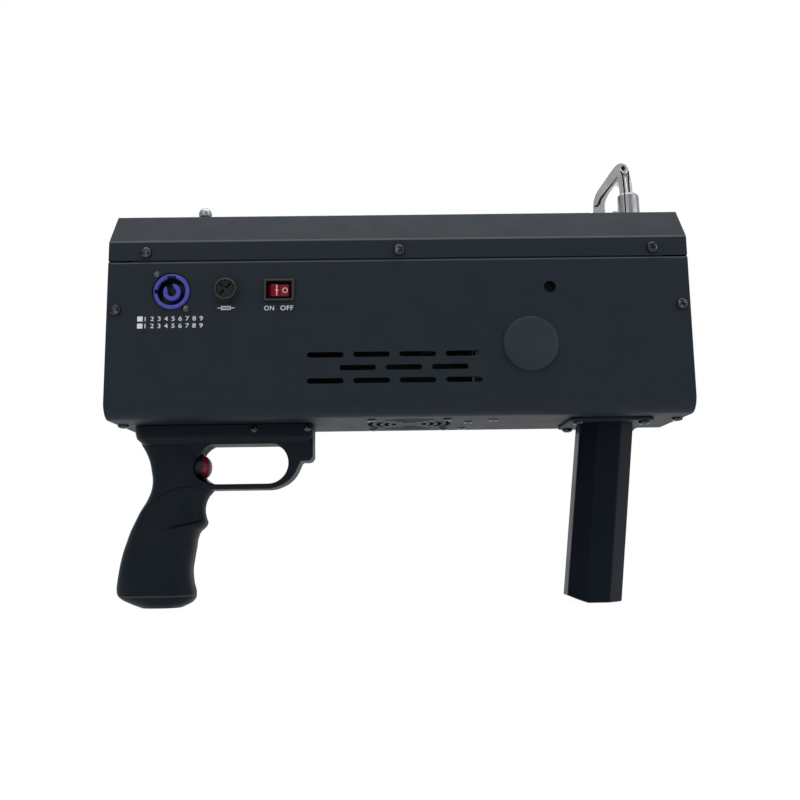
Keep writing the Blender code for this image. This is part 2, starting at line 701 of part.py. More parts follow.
def fuse_holder(body_finish, glass_finish):
    at = (FUSE_X, side_y(-1), from_case(CONTROL_HEIGHT))
    well = FUSE_RADIUS + 0.8 * MM
    flange_top = SEAT + 1.3 * MM
    barrel = turned(
        [
            (0, -FUSE_DEPTH),
            (FUSE_BARREL_RADIUS - 1 * MM, -FUSE_DEPTH),
            (FUSE_BARREL_RADIUS, -FUSE_DEPTH + 1 * MM),
            (FUSE_BARREL_RADIUS, SEAT),
            (FUSE_FLANGE_RADIUS, SEAT),
            (FUSE_FLANGE_RADIUS, flange_top),
            (well, flange_top),
            (well, -FUSE_DEPTH + 3 * MM),
            (0, -FUSE_DEPTH + 3 * MM),
        ]
    )
    add_part("fuse_holder_body", moved(barrel, at, "-Y"), body_finish, origin=at)
    foot = flange_top + SEAT
    top = foot + FUSE_CAP_HEIGHT
    plug = well - RUNNING
    cap = turned(
        [
            (0, -5 * MM),
            (plug, -5 * MM),
            (plug, foot),
            (FUSE_CAP_RADIUS, foot),
            (FUSE_CAP_RADIUS, top - 0.7 * MM),
            (FUSE_CAP_RADIUS - 0.7 * MM, top),
            (FUSE_CAP_RADIUS - 1.5 * MM, top),
            (FUSE_CAP_RADIUS - 1.7 * MM, top - 0.9 * MM),
            (0, top - 0.9 * MM),
        ],
        20,
    )
    cap_part = add_part("fuse_cap", moved(cap, at, "-Y"), body_finish, origin=at)
    for turn in (-1, 1):
        slot = block((-0.6 * MM, 0.6 * MM), (-4.2 * MM, 4.2 * MM), (top - 2.1 * MM, top + 1 * MM))
        bmesh.ops.rotate(slot, matrix=Matrix.Rotation(turn * math.pi / 4, 3, "Z"), verts=slot.verts)
        cut(cap_part, [moved(slot, at, "-Y")])
    tail = -5 * MM - SEAT
    fuse = turned(
        [
            (0, tail - FUSE_LENGTH),
            (FUSE_RADIUS, tail - FUSE_LENGTH),
            (FUSE_RADIUS, tail - FUSE_LENGTH + 5 * MM),
            (FUSE_RADIUS * 0.86, tail - FUSE_LENGTH + 5 * MM),
            (FUSE_RADIUS * 0.86, tail - 5 * MM),
            (FUSE_RADIUS, tail - 5 * MM),
            (FUSE_RADIUS, tail),
            (0, tail),
        ],
        16,
    )
    add_part("glass_fuse", moved(fuse, at, "-Y"), glass_finish, origin=at)


def power_switch(body_finish, rocker_finish):
    """Snap-in rocker switch: bezel and body in one, and a rocker on its upright pin, resting at OFF."""
    centre = (SWITCH_X, from_case(CONTROL_HEIGHT))
    wall = side_y(-1)
    bezel = prism(rectangle(*SWITCH_BEZEL, centre, radius=1.2 * MM), "Y", wall - SEAT, wall - SEAT - 2 * MM)
    housing = add_part("switch_housing", bezel, body_finish)
    join(housing, [prism(rectangle(*SWITCH_BODY, centre), "Y", wall - SEAT - 1 * MM, wall + SWITCH_DEPTH)])
    pivot_y = wall + 1 * MM
    pivot = (SWITCH_X, pivot_y, from_case(CONTROL_HEIGHT))
    window = prism(rectangle(*SWITCH_WINDOW, centre), "Y", wall - 6 * MM, wall + 8 * MM)
    pin_reach = SWITCH_BODY[1] / 2 - 0.6 * MM
    bearing = moved(cylinder(ROCKER_PIN_RADIUS + RUNNING, -pin_reach - SEAT, pin_reach + SEAT, 16), pivot)
    cut(housing, [window])
    cut(housing, [bearing])

    half = ROCKER_SIZE[0] / 2
    outline = [
        (-half, -4.4 * MM),
        (0, -3.2 * MM),
        (half, -4.4 * MM),
        (half, 0.6 * MM),
        (4.6 * MM, 3.6 * MM),
        (-4.6 * MM, 3.6 * MM),
        (-half, 0.6 * MM),
    ]
    rocker = prism(outline, "Z", -ROCKER_SIZE[1] / 2, ROCKER_SIZE[1] / 2)
    bmesh.ops.rotate(rocker, matrix=Matrix.Rotation(ROCKER_TILT, 3, "Z"), verts=rocker.verts)
    part = add_part("switch_rocker", moved(rocker, pivot), rocker_finish, origin=pivot)
    join(part, [moved(cylinder(ROCKER_PIN_RADIUS, -pin_reach, pin_reach, 16), pivot)])


def plug_height():
    """The filler plug sits a little above the auger's axis."""
    return NOZZLE_HEIGHT + 2.7 * MM


def filler_plug(finish):
    at = (PLUG_X, side_y(-1), from_case(plug_height()))
    inner = PLUG_SKIRT_RADIUS - PLUG_WALL
    cup = turned(
        [
            (0, 2.7 * MM),
            (PLUG_RADIUS - 1.4 * MM, 2.2 * MM),
            (PLUG_RADIUS, 1.2 * MM),
            (PLUG_RADIUS, SEAT),
            (PLUG_SKIRT_RADIUS, SEAT),
            (PLUG_SKIRT_RADIUS, -PLUG_SKIRT_LENGTH),
            (inner, -PLUG_SKIRT_LENGTH),
            (inner, -0.8 * MM),
            (0, -0.8 * MM),
        ],
        28,
    )
    return add_part("filler_plug", moved(cup, at, "-Y"), finish, origin=at)


# Granule feed


def trough_outline(grow=0.0):
    """Inner section of the hopper: a floor that runs down to a half-round trough under the auger."""
    radius = AUGER_RADIUS + 0.8 * MM
    axis = from_case(NOZZLE_HEIGHT)
    port_floor = from_case(plug_height()) - PORT_RADIUS
    arc = [
        (radius * math.cos(a), axis + radius * math.sin(a)) for a in np.radians(np.linspace(245, 350, 6))
    ]
    outline = [(HOPPER_NEAR_Y, from_case(HOPPER_TOP)), (HOPPER_NEAR_Y, port_floor)] + arc
    outline += [(HOPPER_FAR_Y, axis + 15 * MM), (HOPPER_FAR_Y, from_case(HOPPER_TOP))]
    return offset_outline(outline, -grow)


def feed_hopper(finish):
    start, end = HOPPER_X
    hopper = add_part("feed_hopper", prism(trough_outline(HOPPER_WALL), "X", start, end), finish)
    at = (PLUG_X, side_y(-1), from_case(plug_height()))
    neck_front = -SHEET - SEAT
    neck_back = side_y(-1) - HOPPER_NEAR_Y - HOPPER_WALL / 2
    neck = moved(cylinder(PLUG_SKIRT_RADIUS + SEAT + HOPPER_WALL, neck_back, neck_front, 24), at, "-Y")
    tube = moved(
        cylinder(FEED_TUBE_RADIUS, -HOPPER_WALL / 2, NOZZLE_BACK_X + 3 * MM - end, 20),
        (end, 0, from_case(NOZZLE_HEIGHT)),
        "X",
    )
    join(hopper, [neck])
    join(hopper, [tube])
    cut(hopper, [prism(trough_outline(), "X", start + HOPPER_WALL, end - HOPPER_WALL)])
    seat = moved(cylinder(PLUG_SKIRT_RADIUS + 2 * SEAT, -PLUG_SKIRT_LENGTH - 1 * MM, 0, 24), at, "-Y")
    port = moved(cylinder(PORT_RADIUS, neck_back - 4 * MM, 0, 20), at, "-Y")
    cut(hopper, [seat])
    cut(hopper, [port])
    auger_axis = (start, 0, from_case(NOZZLE_HEIGHT))
    bearing = moved(cylinder(AUGER_SHAFT_RADIUS + RUNNING, -3 * MM, 5 * MM, 16), auger_axis, "X")
    feed_bore = cylinder(AUGER_RADIUS + 0.6 * MM, end - start - 5 * MM, NOZZLE_BACK_X - start + 9 * MM, 20)
    return cut(hopper, [bearing, moved(feed_bore, auger_axis, "X")])


def feed_auger(finish):
    """A shaft with one helical blade; the blade's thin section is carried along the helix."""
    start = HOPPER_X[0] + HOPPER_WALL + 1 * MM
    length = NOZZLE_BACK_X - start
    steps = int(length / AUGER_PITCH * 9)
    rings = []
    for step in range(steps + 1):
        along = start + length * step / steps
        angle = 2 * math.pi * (along - start) / AUGER_PITCH
        ring = []
        for radius, offset in ((0.6, -0.5), (1.0, -0.5), (1.0, 0.5), (0.6, 0.5)):
            r = AUGER_RADIUS if radius == 1.0 else AUGER_SHAFT_RADIUS * radius
            ring.append((along + offset * AUGER_BLADE, r * math.cos(angle), r * math.sin(angle)))
        rings.append(ring)
    at = (start, 0, from_case(NOZZLE_HEIGHT))
    blade = moved(loft(rings), (0, 0, at[2]))
    back = MOTOR_BRACKET_X - 0.5 * MM
    shaft = cylinder(AUGER_SHAFT_RADIUS, back, start + length + AUGER_BLADE, 16)
    part = add_part("feed_auger", moved(shaft, (0, 0, at[2]), "X"), finish, origin=at)
    return join(part, [blade])


def gear_outline(teeth, phase=0.0):
    """Involute spur gear section, thinned for backlash."""
    pitch = GEAR_MODULE * teeth / 2
    base = pitch * math.cos(math.radians(20))
    tip = pitch + GEAR_MODULE
    root = pitch - 1.25 * GEAR_MODULE

    def roll(radius):
        return math.sqrt(max((radius / base) ** 2 - 1, 0)) - math.acos(min(base / radius, 1))

    half_tooth = math.pi / 2 / teeth - GEAR_BACKLASH / 2 / pitch
    outline = []
    for tooth in range(teeth):
        centre = phase + 2 * math.pi * tooth / teeth
        flank = []
        for radius in (root, pitch, tip):
            spread = half_tooth + roll(pitch) - roll(max(radius, base))
            flank.append((radius, spread))
        left = [(r, centre - spread) for r, spread in flank]
        right = [(r, centre + spread) for r, spread in flank[::-1]]
        outline += [(r * math.cos(a), r * math.sin(a)) for r, a in left + right]
    return outline


def feed_gears(gear_finish, steel_finish):
    """The auger gear and the motor pinion that meshes with it straight above."""
    x = MOTOR_BRACKET_X + SHEET + 1.5 * MM
    auger_axis = (x, 0, from_case(NOZZLE_HEIGHT))
    pinion_axis = (x, 0, from_case(motor_height()))
    wheel = moved(prism(gear_outline(AUGER_TEETH, phase=0.0), "Z", 0, GEAR_FACE), auger_axis, "X")
    gear = add_part("auger_gear", wheel, gear_finish, origin=auger_axis)
    cut(gear, [moved(cylinder(AUGER_SHAFT_RADIUS + 0.05 * MM, -5 * MM, 15 * MM, 16), auger_axis, "X")])
    pinion_phase = math.pi / PINION_TEETH
    small = moved(prism(gear_outline(PINION_TEETH, pinion_phase), "Z", 0, GEAR_FACE), pinion_axis, "X")
    pinion = add_part("motor_pinion", small, steel_finish, origin=pinion_axis)
    join(pinion, [moved(cylinder(2 * MM, -12 * MM, 1 * MM, 16), pinion_axis, "X")])


def motor_height():
    return NOZZLE_HEIGHT + GEAR_MODULE * (AUGER_TEETH + PINION_TEETH) / 2


def feed_motor(motor_finish, bracket_finish):
    back = MOTOR_BRACKET_X - SEAT
    axis = (back, 0, from_case(motor_height()))
    body = turned(
        [
            (0, -MOTOR_LENGTH),
            (MOTOR_RADIUS - 1.5 * MM, -MOTOR_LENGTH),
            (MOTOR_RADIUS, -MOTOR_LENGTH + 1.5 * MM),
            (MOTOR_RADIUS, -1 * MM),
            (MOTOR_RADIUS - 1 * MM, 0),
            (2 * MM + RUNNING, 0),
            (2 * MM + RUNNING, -14 * MM),
            (0, -14 * MM),
        ]
    )
    add_part("feed_motor", moved(body, axis, "X"), motor_finish, origin=axis)
    foot_z = from_case(SHEET + SEAT)
    x = MOTOR_BRACKET_X
    width = 2 * (MOTOR_RADIUS + 4 * MM)
    top = from_case(motor_height() + MOTOR_RADIUS + 3 * MM)
    upright = rectangle(width, top - foot_z, (0, (top + foot_z) / 2), radius=3 * MM)
    bracket = add_part("motor_bracket", prism(upright, "X", x, x + SHEET), bracket_finish)
    join(bracket, [block((x - 11 * MM, x + SHEET / 2), (-width / 2, width / 2), (foot_z, foot_z + SHEET))])
    holes = []
    for height, radius in ((NOZZLE_HEIGHT, AUGER_SHAFT_RADIUS), (motor_height(), 2 * MM)):
        hole = cylinder(radius + RUNNING, -3 * SHEET, 3 * SHEET, 16)
        holes.append(moved(hole, (x, 0, from_case(height)), "X"))
    return cut(bracket, holes)


# Heater and nozzle


def heater(steel_finish, jacket_finish, bracket_finish):
    axis = (0, 0, from_case(NOZZLE_HEIGHT))
    front = CASE_LENGTH / 2
    shoulder = front - SHEET - SEAT
    collar_bore = FEED_TUBE_RADIUS + SEAT
    tube = turned(
        [
            (collar_bore, NOZZLE_BACK_X),
            (NOZZLE_RADIUS, NOZZLE_BACK_X),
            (NOZZLE_RADIUS, shoulder - 3 * MM),
            (NOZZLE_RADIUS + 2 * MM, shoulder - 3 * MM),
            (NOZZLE_RADIUS + 2 * MM, shoulder),
            (NOZZLE_RADIUS, shoulder),
            (NOZZLE_RADIUS, front),
            (NOZZLE_BORE + 1 * MM, front),
            (NOZZLE_BORE, front - 2 * MM),
            (NOZZLE_BORE, NOZZLE_BACK_X + 4 * MM),
            (collar_bore, NOZZLE_BACK_X + 4 * MM),
        ],
        24,
    )
    add_part("nozzle_tube", moved(tube, axis, "X"), steel_finish, origin=(front, 0, axis[2]))
    bore = NOZZLE_RADIUS + SEAT
    jacket = turned(
        [
            (bore, JACKET_X[0]),
            (JACKET_RADIUS - 2 * MM, JACKET_X[0]),
            (JACKET_RADIUS, JACKET_X[0] + 2 * MM),
            (JACKET_RADIUS, JACKET_X[1] - 2 * MM),
            (JACKET_RADIUS - 2 * MM, JACKET_X[1]),
            (bore, JACKET_X[1]),
        ],
        24,
    )
    add_part("heater_jacket", moved(jacket, axis, "X"), jacket_finish, origin=(JACKET_X[0], 0, axis[2]))
    foot_z = from_case(SHEET + SEAT)
    foot, web = SADDLE_FOOT, SADDLE_WEB
    profile = [
        (-foot, foot_z),
        (foot, foot_z),
        (foot, foot_z + 2 * MM),
        (web, foot_z + 2 * MM),
        (web, axis[2] - 10 * MM),
        (-web, axis[2] - 10 * MM),
        (-web, foot_z + 2 * MM),
        (-foot, foot_z + 2 * MM),
    ]
    saddle = add_part("heater_saddle", prism(profile, "X", *SADDLE_X), bracket_finish)
    bed = cylinder(JACKET_RADIUS + SEAT, SADDLE_X[0] - 5 * MM, SADDLE_X[1] + 5 * MM, 24)
    cut(saddle, [moved(bed, axis, "X")])


# Fan


def fan(frame_finish, rotor_finish, screw_finish):
    foot = from_case(SHEET + SEAT)
    centre = (FAN_X, 0)
    frame = add_part(
        "fan_frame",
        prism(rectangle(FAN_SIZE, FAN_SIZE, centre, radius=4 * MM), "Z", foot, foot + FAN_DEPTH),
        frame_finish,
        origin=(FAN_X, 0, foot),
    )
    arm_z = foot + FAN_DEPTH - 2.5 * MM
    cut(frame, [prism(circle(FAN_BORE, 28, centre), "Z", foot - 1 * MM, foot + 2 * FAN_DEPTH)])
    cut(frame, [prism(circle(SCREW_SHANK_RADIUS + SEAT, 8, p), "Z", 0, 1) for p in fan_screw_places()])
    arms = []
    for angle in (45, 135):
        arm = block((-FAN_BORE - 1 * MM, FAN_BORE + 1 * MM), (-1.5 * MM, 1.5 * MM), (arm_z, arm_z + 2 * MM))
        bmesh.ops.rotate(arm, matrix=Matrix.Rotation(math.radians(angle), 3, "Z"), verts=arm.verts)
        arms.append(moved(arm, (FAN_X, 0, 0)))
    hub = prism(circle(FAN_HUB_RADIUS, 16, centre), "Z", arm_z - 0.2 * MM, foot + FAN_DEPTH - 0.1 * MM)
    for arm in arms:
        join(frame, [arm])
    join(frame, [hub])
    spindle_radius = 1.5 * MM
    spindle = prism(circle(spindle_radius + RUNNING, 12, centre), "Z", foot, foot + FAN_DEPTH - 1 * MM)
    cut(frame, [spindle])

    hub_foot, hub_top = foot + 1.5 * MM, arm_z - 0.6 * MM
    at = (FAN_X, 0, hub_foot)
    body = turned(
        [
            (0, 0),
            (FAN_HUB_RADIUS - 1 * MM, 0),
            (FAN_HUB_RADIUS, 1 * MM),
            (FAN_HUB_RADIUS, hub_top - hub_foot),
            (spindle_radius, hub_top - hub_foot),
            (spindle_radius, hub_top - hub_foot + 1.8 * MM),
            (0, hub_top - hub_foot + 1.8 * MM),
        ],
        16,
    )
    rotor = add_part("fan_rotor", moved(body, at), rotor_finish, origin=at)
    blades = [moved(fan_blade(index, hub_top - hub_foot), at) for index in range(FAN_BLADES)]
    join(rotor, blades)
    for number, (x, y) in enumerate(fan_screw_places(), 1):
        place = (x, y, from_case(-SEAT))
        add_screw(f"fan_screw_{number}", place, "-Z", screw_finish, length=10 * MM)


def fan_blade(index, height):
    """A thin blade lofted outwards from inside the hub, flatter and wider towards its tip."""
    turn = 2 * math.pi * index / FAN_BLADES
    rings = []
    for share in (0.0, 0.5, 1.0):
        radius = FAN_HUB_RADIUS - 1.5 * MM + share * (FAN_BORE - FAN_HUB_RADIUS + 0.7 * MM)
        pitch = math.radians(48 - 20 * share)
        half_chord = (4.6 + 2.6 * share) * MM
        half_thick = 0.6 * MM
        ring = []
        for along, across in ((-1, -1), (1, -1), (1, 1), (-1, 1)):
            a = along * half_chord
            b = across * half_thick
            side = a * math.cos(pitch) - b * math.sin(pitch)
            rise = a * math.sin(pitch) + b * math.cos(pitch)
            angle = turn + side / radius
            ring.append((radius * math.cos(angle), radius * math.sin(angle), height / 2 + rise))
        rings.append(ring)
    return loft(rings)


# Electronics


def power_supply(finish):
    foot = from_case(SHEET + SEAT)
    base = foot + SUPPLY_FOOT
    half = SUPPLY_WIDTH / 2
    box = block(SUPPLY_X, (-half, half), (base, base + SUPPLY_HEIGHT))
    bmesh.ops.bevel(box, geom=box.edges, offset=1.5 * MM, segments=1, affect="EDGES")
    supply = add_part("power_supply", box, finish)
    inset = 8 * MM
    feet = []
    for x in (SUPPLY_X[0] + inset, SUPPLY_X[1] - inset):
        for y in (-half + inset, half - inset):
            feet.append(moved(cylinder(3 * MM, foot, base + 1 * MM, 10), (x, y, 0)))
    join(supply, feet)
    pitch = 9 * MM
    for index in range(5):
        x = SUPPLY_X[0] + 18 * MM + index * pitch
        slot = rectangle(3 * MM, SUPPLY_WIDTH * 0.6, (x, 0))
        cut(supply, [prism(slot, "Z", base + SUPPLY_HEIGHT - 2 * MM, base + 2 * SUPPLY_HEIGHT)])
    return supply


def control_board(finish):
    """Upright circuit board on four spacers against the far wall, with its tall components."""
    wall = CASE_WIDTH / 2 - SHEET - SEAT
    back = wall - BOARD_GAP
    face = back - 1.6 * MM
    z = [from_case(height) for height in BOARD_HEIGHTS]
    board = add_part("control_board", block(BOARD_X, (face, back), z), finish)
    spacers = []
    for x in (BOARD_X[0] + 5 * MM, BOARD_X[1] - 5 * MM):
        for height in (z[0] + 5 * MM, z[1] - 5 * MM):
            spacers.append(moved(cylinder(2.5 * MM, -wall, -back + 0.5 * MM, 8), (x, 0, height), "-Y"))
    join(board, spacers)
    parts = []
    for x, height, size in ((12, 50, (16, 20, 15)), (38, 46, (14, 14, 11)), (62, 60, (22, 18, 12))):
        centre = (BOARD_X[0] + x * MM, z[0] + height * MM)
        outline = rectangle(size[0] * MM, size[1] * MM, centre)
        parts.append(prism(outline, "Y", face - size[2] * MM, face + 0.5 * MM))
    join(board, parts)
    return board


# Pistol grip


GRIP_REAR = (  # (height from the case, x from the rear end) of the grip's rear outline, in mm
    (0, 13.0),
    (-12.5, 13.2),
    (-16.7, 15.7),
    (-23.6, 18.8),
    (-37.3, 21.4),
    (-44.1, 20.6),
    (-50.9, 17.9),
    (-57.6, 13.9),
    (-70.9, 7.8),
    (-84.2, 3.5),
    (-97.5, 0.9),
    (-110.6, -0.3),
    (-113.9, 1.8),
    (-117.3, 8.3),
    (-121, 17.2),
)
GRIP_FRONT = (  # the same of the grip's front outline
    (0, 62),
    (-40, 64),
    (-44.5, 62.4),
    (-48, 59.4),
    (-52, 57.7),
    (-58, 57),
    (-62, 57.8),
    (-65, 58.8),
    (-68, 57.6),
    (-71.5, 53.8),
    (-75, 52.3),
    (-82, 51.2),
    (-96, 49.2),
    (-105, 50),
    (-112, 51.8),
    (-116, 51.2),
    (-118.5, 48.6),
    (-121, 43),
)
GRIP_HALF_WIDTH = (
    (0, 10.4),
    (-13, 10.5),
    (-20, 11.2),
    (-28, 12.4),
    (-40, 14),
    (-52, 15.4),
    (-66, 17),
    (-84, 18),
    (-104, 18.6),
    (-112, 19),
    (-116, 18.4),
    (-118.5, 17),
    (-121, 13.5),
)
GRIP_LEVELS = (
    -6,
    -13,
    -17,
    -23,
    -31,
    -39,
    -42.5,
    -45,
    -48,
    -52,
    -57,
    -61,
    -64.5,
    -66.5,
    -69,
    -72,
    -77,
    -84,
    -92,
    -100,
    -107,
    -112.5,
    -116.5,
    -119,
    -121,
)
GROOVE_DEPTH = 1.8  # finger groove under the trigger, in mm


def along_grip(table, level):
    """Value of a (height, value) table at a height, in mm."""
    heights = [-row[0] for row in table]
    return float(np.interp(-level, heights, [row[1] for row in table]))


def smooth_step(low, high, value):
    share = min(max((value - low) / (high - low), 0), 1)
    return share * share * (3 - 2 * share)


def groove(x, level):
    """Depth of the finger groove: a sharp ledge above and in front, and a long fade below and behind."""
    rise = 0.0175 if x < 48 else 0.013
    upper = -41.7 - rise * (x - 48) ** 2
    lower = -68.5 + 0.22 * (x - 40) if x > 40 else -68.5 - 0.25 * (x - 40)
    fade = 0.8 + 18 * smooth_step(42, 24, x)
    inside = smooth_step(upper + 0.8, upper - 1.2, level) * smooth_step(lower - fade, lower + 1.5, level)
    return GROOVE_DEPTH * inside * smooth_step(12, 28, x)


def grip_ring(level, side, points=13):
    """Half section of the grip at one height: out from the parting plane at the front and back at the rear."""
    front, rear = along_grip(GRIP_FRONT, level), along_grip(GRIP_REAR, level)
    middle, reach = (front + rear) / 2, (front - rear) / 2
    half_width = along_grip(GRIP_HALF_WIDTH, level)
    ring = []
    for index in range(points):
        angle = math.pi * index / (points - 1)
        x = middle + reach * math.copysign(abs(math.cos(angle)) ** 0.85, math.cos(angle))
        y = half_width * math.sin(angle) ** 0.72 if 0 < index < points - 1 else 0.0
        y = max(y - groove(x, level) * math.sin(angle) ** 0.3, 0) if y else 0.0
        ring.append((REAR_END + x * MM, side * (SEAT / 2 + y * MM), from_case(level * MM)))
    return ring


def guard_outline():
    """Side view of the trigger guard and the web above it."""
    gap_top = -RAIL_DEPTH
    gap_bottom = gap_top - FINGER_GAP_HEIGHT
    bottom = gap_bottom - GUARD_BAR
    front = RAIL_X[1]
    step = gap_top - 12.8 * MM
    corners = [
        (REAR_END + 40 * MM, -8 * MM),
        (REAR_END + 40 * MM, bottom),
        (REAR_END + 104 * MM, bottom),
        (REAR_END + 115.6 * MM, bottom + 5.2 * MM),
        (REAR_END + 121 * MM, step - 4 * MM),
        (REAR_END + 123 * MM, step),
        (front, step),
        (front, -8 * MM),
    ]
    radii = [0, 0, 9 * MM, 5 * MM, 3 * MM, 1.5 * MM, 4 * MM, 0]
    return [(x, from_case(z)) for x, z in round_corners(corners, radii)]


def rail_half(side):
    """Half of the rail under the case: a round-cornered plan, drawn in below by a bevel to the guard's width."""
    rear, front = RAIL_X
    wide = RAIL_HALF_WIDTH
    corners = [(rear, -wide), (front, -wide), (front, wide), (rear, wide)]
    plan = round_corners(corners, [RAIL_ROUNDS[0], RAIL_ROUNDS[1], RAIL_ROUNDS[1], RAIL_ROUNDS[0]], steps=3)
    levels = ((-SEAT, 0), (RAIL_BEVEL - RAIL_DEPTH, 0), (-RAIL_DEPTH, wide - GUARD_HALF_WIDTH))
    rings = []
    for height, inward in levels:
        half = [point for point in offset_outline(plan, inward) if point[1] > 0]
        flat = [(half[0][0], SEAT / 2), *half, (half[-1][0], SEAT / 2)]
        rings.append([(x, side * y, from_case(height)) for x, y in flat])
    return loft(rings)


def grip_shell(name, side, finish):
    """One moulded half of the pistol grip: handle, rail and trigger guard, split on the middle plane."""
    handle = loft([grip_ring(level, side) for level in GRIP_LEVELS])
    shell = add_part(name, handle, finish)
    join(shell, [rail_half(side)])
    inner, outer = side * SEAT / 2, side * GUARD_HALF_WIDTH
    join(shell, [prism(guard_outline(), "Y", inner, outer)])
    gap_centre = (sum(FINGER_GAP_X) / 2, from_case(-RAIL_DEPTH - FINGER_GAP_HEIGHT / 2))
    length = FINGER_GAP_X[1] - FINGER_GAP_X[0]
    gap = stadium(length, FINGER_GAP_HEIGHT, gap_centre, steps=8)
    cut(shell, [prism(gap, "Y", -CASE_WIDTH, CASE_WIDTH)])
    pocket = cylinder(COLLAR_RADIUS + SEAT, COLLAR_BACK_X - SEAT, FINGER_GAP_X[0] + 8 * MM, 24)
    cut(shell, [moved(pocket, (0, 0, from_case(TRIGGER_HEIGHT)), "X")])
    scoop = circle(SCOOP_RADIUS, 24, (SCOOP_X, from_case(SCOOP_HEIGHT)))
    return cut(shell, [prism(scoop, "Y", side * SCOOP_CORE, side * CASE_WIDTH)])


def trigger(collar_finish, button_finish):
    """Round push button in a collar that is clamped between the grip halves."""
    axis = (0, 0, from_case(TRIGGER_HEIGHT))
    bore = COLLAR_RADIUS - COLLAR_WALL
    floor = COLLAR_BACK_X + 6 * MM
    collar = turned(
        [
            (0, COLLAR_BACK_X),
            (COLLAR_RADIUS, COLLAR_BACK_X),
            (COLLAR_RADIUS, COLLAR_FRONT_X - 0.5 * MM),
            (COLLAR_RADIUS - 0.4 * MM, COLLAR_FRONT_X),
            (bore, COLLAR_FRONT_X),
            (bore, floor),
            (0, floor),
        ],
        24,
    )
    add_part("trigger_collar", moved(collar, axis, "X"), collar_finish, origin=(COLLAR_FRONT_X, 0, axis[2]))
    radius = bore - RUNNING
    rise = BUTTON_TIP_X - COLLAR_FRONT_X
    foot = floor + TRIGGER_TRAVEL + 1 * MM
    dome = [(0, foot), (radius, foot), (radius, COLLAR_FRONT_X + 0.4 * MM)]
    for angle in (20, 40, 60, 77):
        share = math.radians(angle)
        dome.append((radius * math.cos(share), COLLAR_FRONT_X + 0.4 * MM + (rise - 0.4 * MM) * math.sin(share)))
    dome.append((0, BUTTON_TIP_X))
    tip = (BUTTON_TIP_X, 0, axis[2])
    add_part("trigger_button", moved(turned(dome, 24), axis, "X"), button_finish, origin=tip)


# Front grip


def front_grip(column_finish, flange_finish, screw_finish):
    """Octagonal column that leans towards the pistol grip, its heel cut off on the slant, under a flange
    screwed to the case floor."""
    top = -SEAT - COLUMN_FLANGE_THICKNESS - SEAT
    lean = (COLUMN_TOP_X - COLUMN_FOOT_X) / CASE_BASE_Z

    def ring(height, radius):
        centre = COLUMN_TOP_X + height * lean
        return [(x, y, from_case(height)) for x, y in circle(radius, 8, (centre, 0), math.pi / 8)]

    rings = [
        ring(-CASE_BASE_Z, COLUMN_RADIUS - COLUMN_CHAMFER),
        ring(-CASE_BASE_Z + COLUMN_CHAMFER, COLUMN_RADIUS),
        ring(top, COLUMN_RADIUS),
    ]
    length, rise = COLUMN_HEEL
    rear = COLUMN_FOOT_X - COLUMN_RADIUS * math.cos(math.pi / 8)
    foot = (COLUMN_FOOT_X + length / 2, 0, 0)
    column = add_part("front_grip", loft(rings), column_finish, origin=foot)
    heel = [(rear + length, 0), (rear - length, 2 * rise), (rear - length, -rise), (rear + length, -rise)]
    cut(column, [prism(heel, "Y", -2 * COLUMN_RADIUS, 2 * COLUMN_RADIUS)])
    outline = rectangle(*COLUMN_FLANGE, (COLUMN_TOP_X, 0), radius=4 * MM)
    z = (from_case(-SEAT - COLUMN_FLANGE_THICKNESS), from_case(-SEAT))
    flange = add_part("front_grip_flange", prism(outline, "Z", *z), flange_finish)
    radius = SCREW_SHANK_RADIUS + SEAT
    cut(flange, [prism(circle(radius, 8, p), "Z", z[0] - SHEET, z[1] + SHEET) for p in column_screw_places()])
    for number, (x, y) in enumerate(column_screw_places(), 1):
        add_screw(f"front_grip_screw_{number}", (x, y, z[0] - SEAT), "-Z", screw_finish)


# Strap stud and snap hook


def ball_stud(name, x, finish):
    """Flanged stud on the cover with a ball head; its stem goes through the cover."""
    at = (x, 0, from_case(CASE_HEIGHT))
    ball, neck = STUD_BALL_RADIUS, STUD_NECK_RADIUS
    start = math.asin(neck / ball)
    profile = [
        (0, -6 * MM),
        (neck, -6 * MM),
        (neck, SEAT),
        (STUD_FLANGE_RADIUS, SEAT),
        (STUD_FLANGE_RADIUS, STUD_FLANGE_THICKNESS),
        (STUD_FLANGE_RADIUS - 1.5 * MM, STUD_FLANGE_THICKNESS + 0.9 * MM),
        (neck, STUD_FLANGE_THICKNESS + 0.9 * MM),
    ]
    for angle in np.linspace(start, math.pi, 7):
        profile.append((ball * math.sin(angle), STUD_BALL_HEIGHT - ball * math.cos(angle)))
    profile[-1] = (0, STUD_BALL_HEIGHT + ball)
    return add_part(name, moved(turned(profile, 16), at), finish, origin=at)


def bar_along(path, width, depth, sides=10):
    """A bar with an oval section carried along a path of (x, z) points in the plane Y = 0."""
    points = np.array(path, float)
    tangents = np.gradient(points, axis=0)
    tangents /= np.linalg.norm(tangents, axis=1)[:, None]
    rings = []
    for (x, z), (tx, tz) in zip(points, tangents):
        ring = []
        for across, out in circle(1.0, sides):
            ring.append((x + tz * across * width / 2, out * depth / 2, z - tx * across * width / 2))
        rings.append(ring)
    return loft(rings)


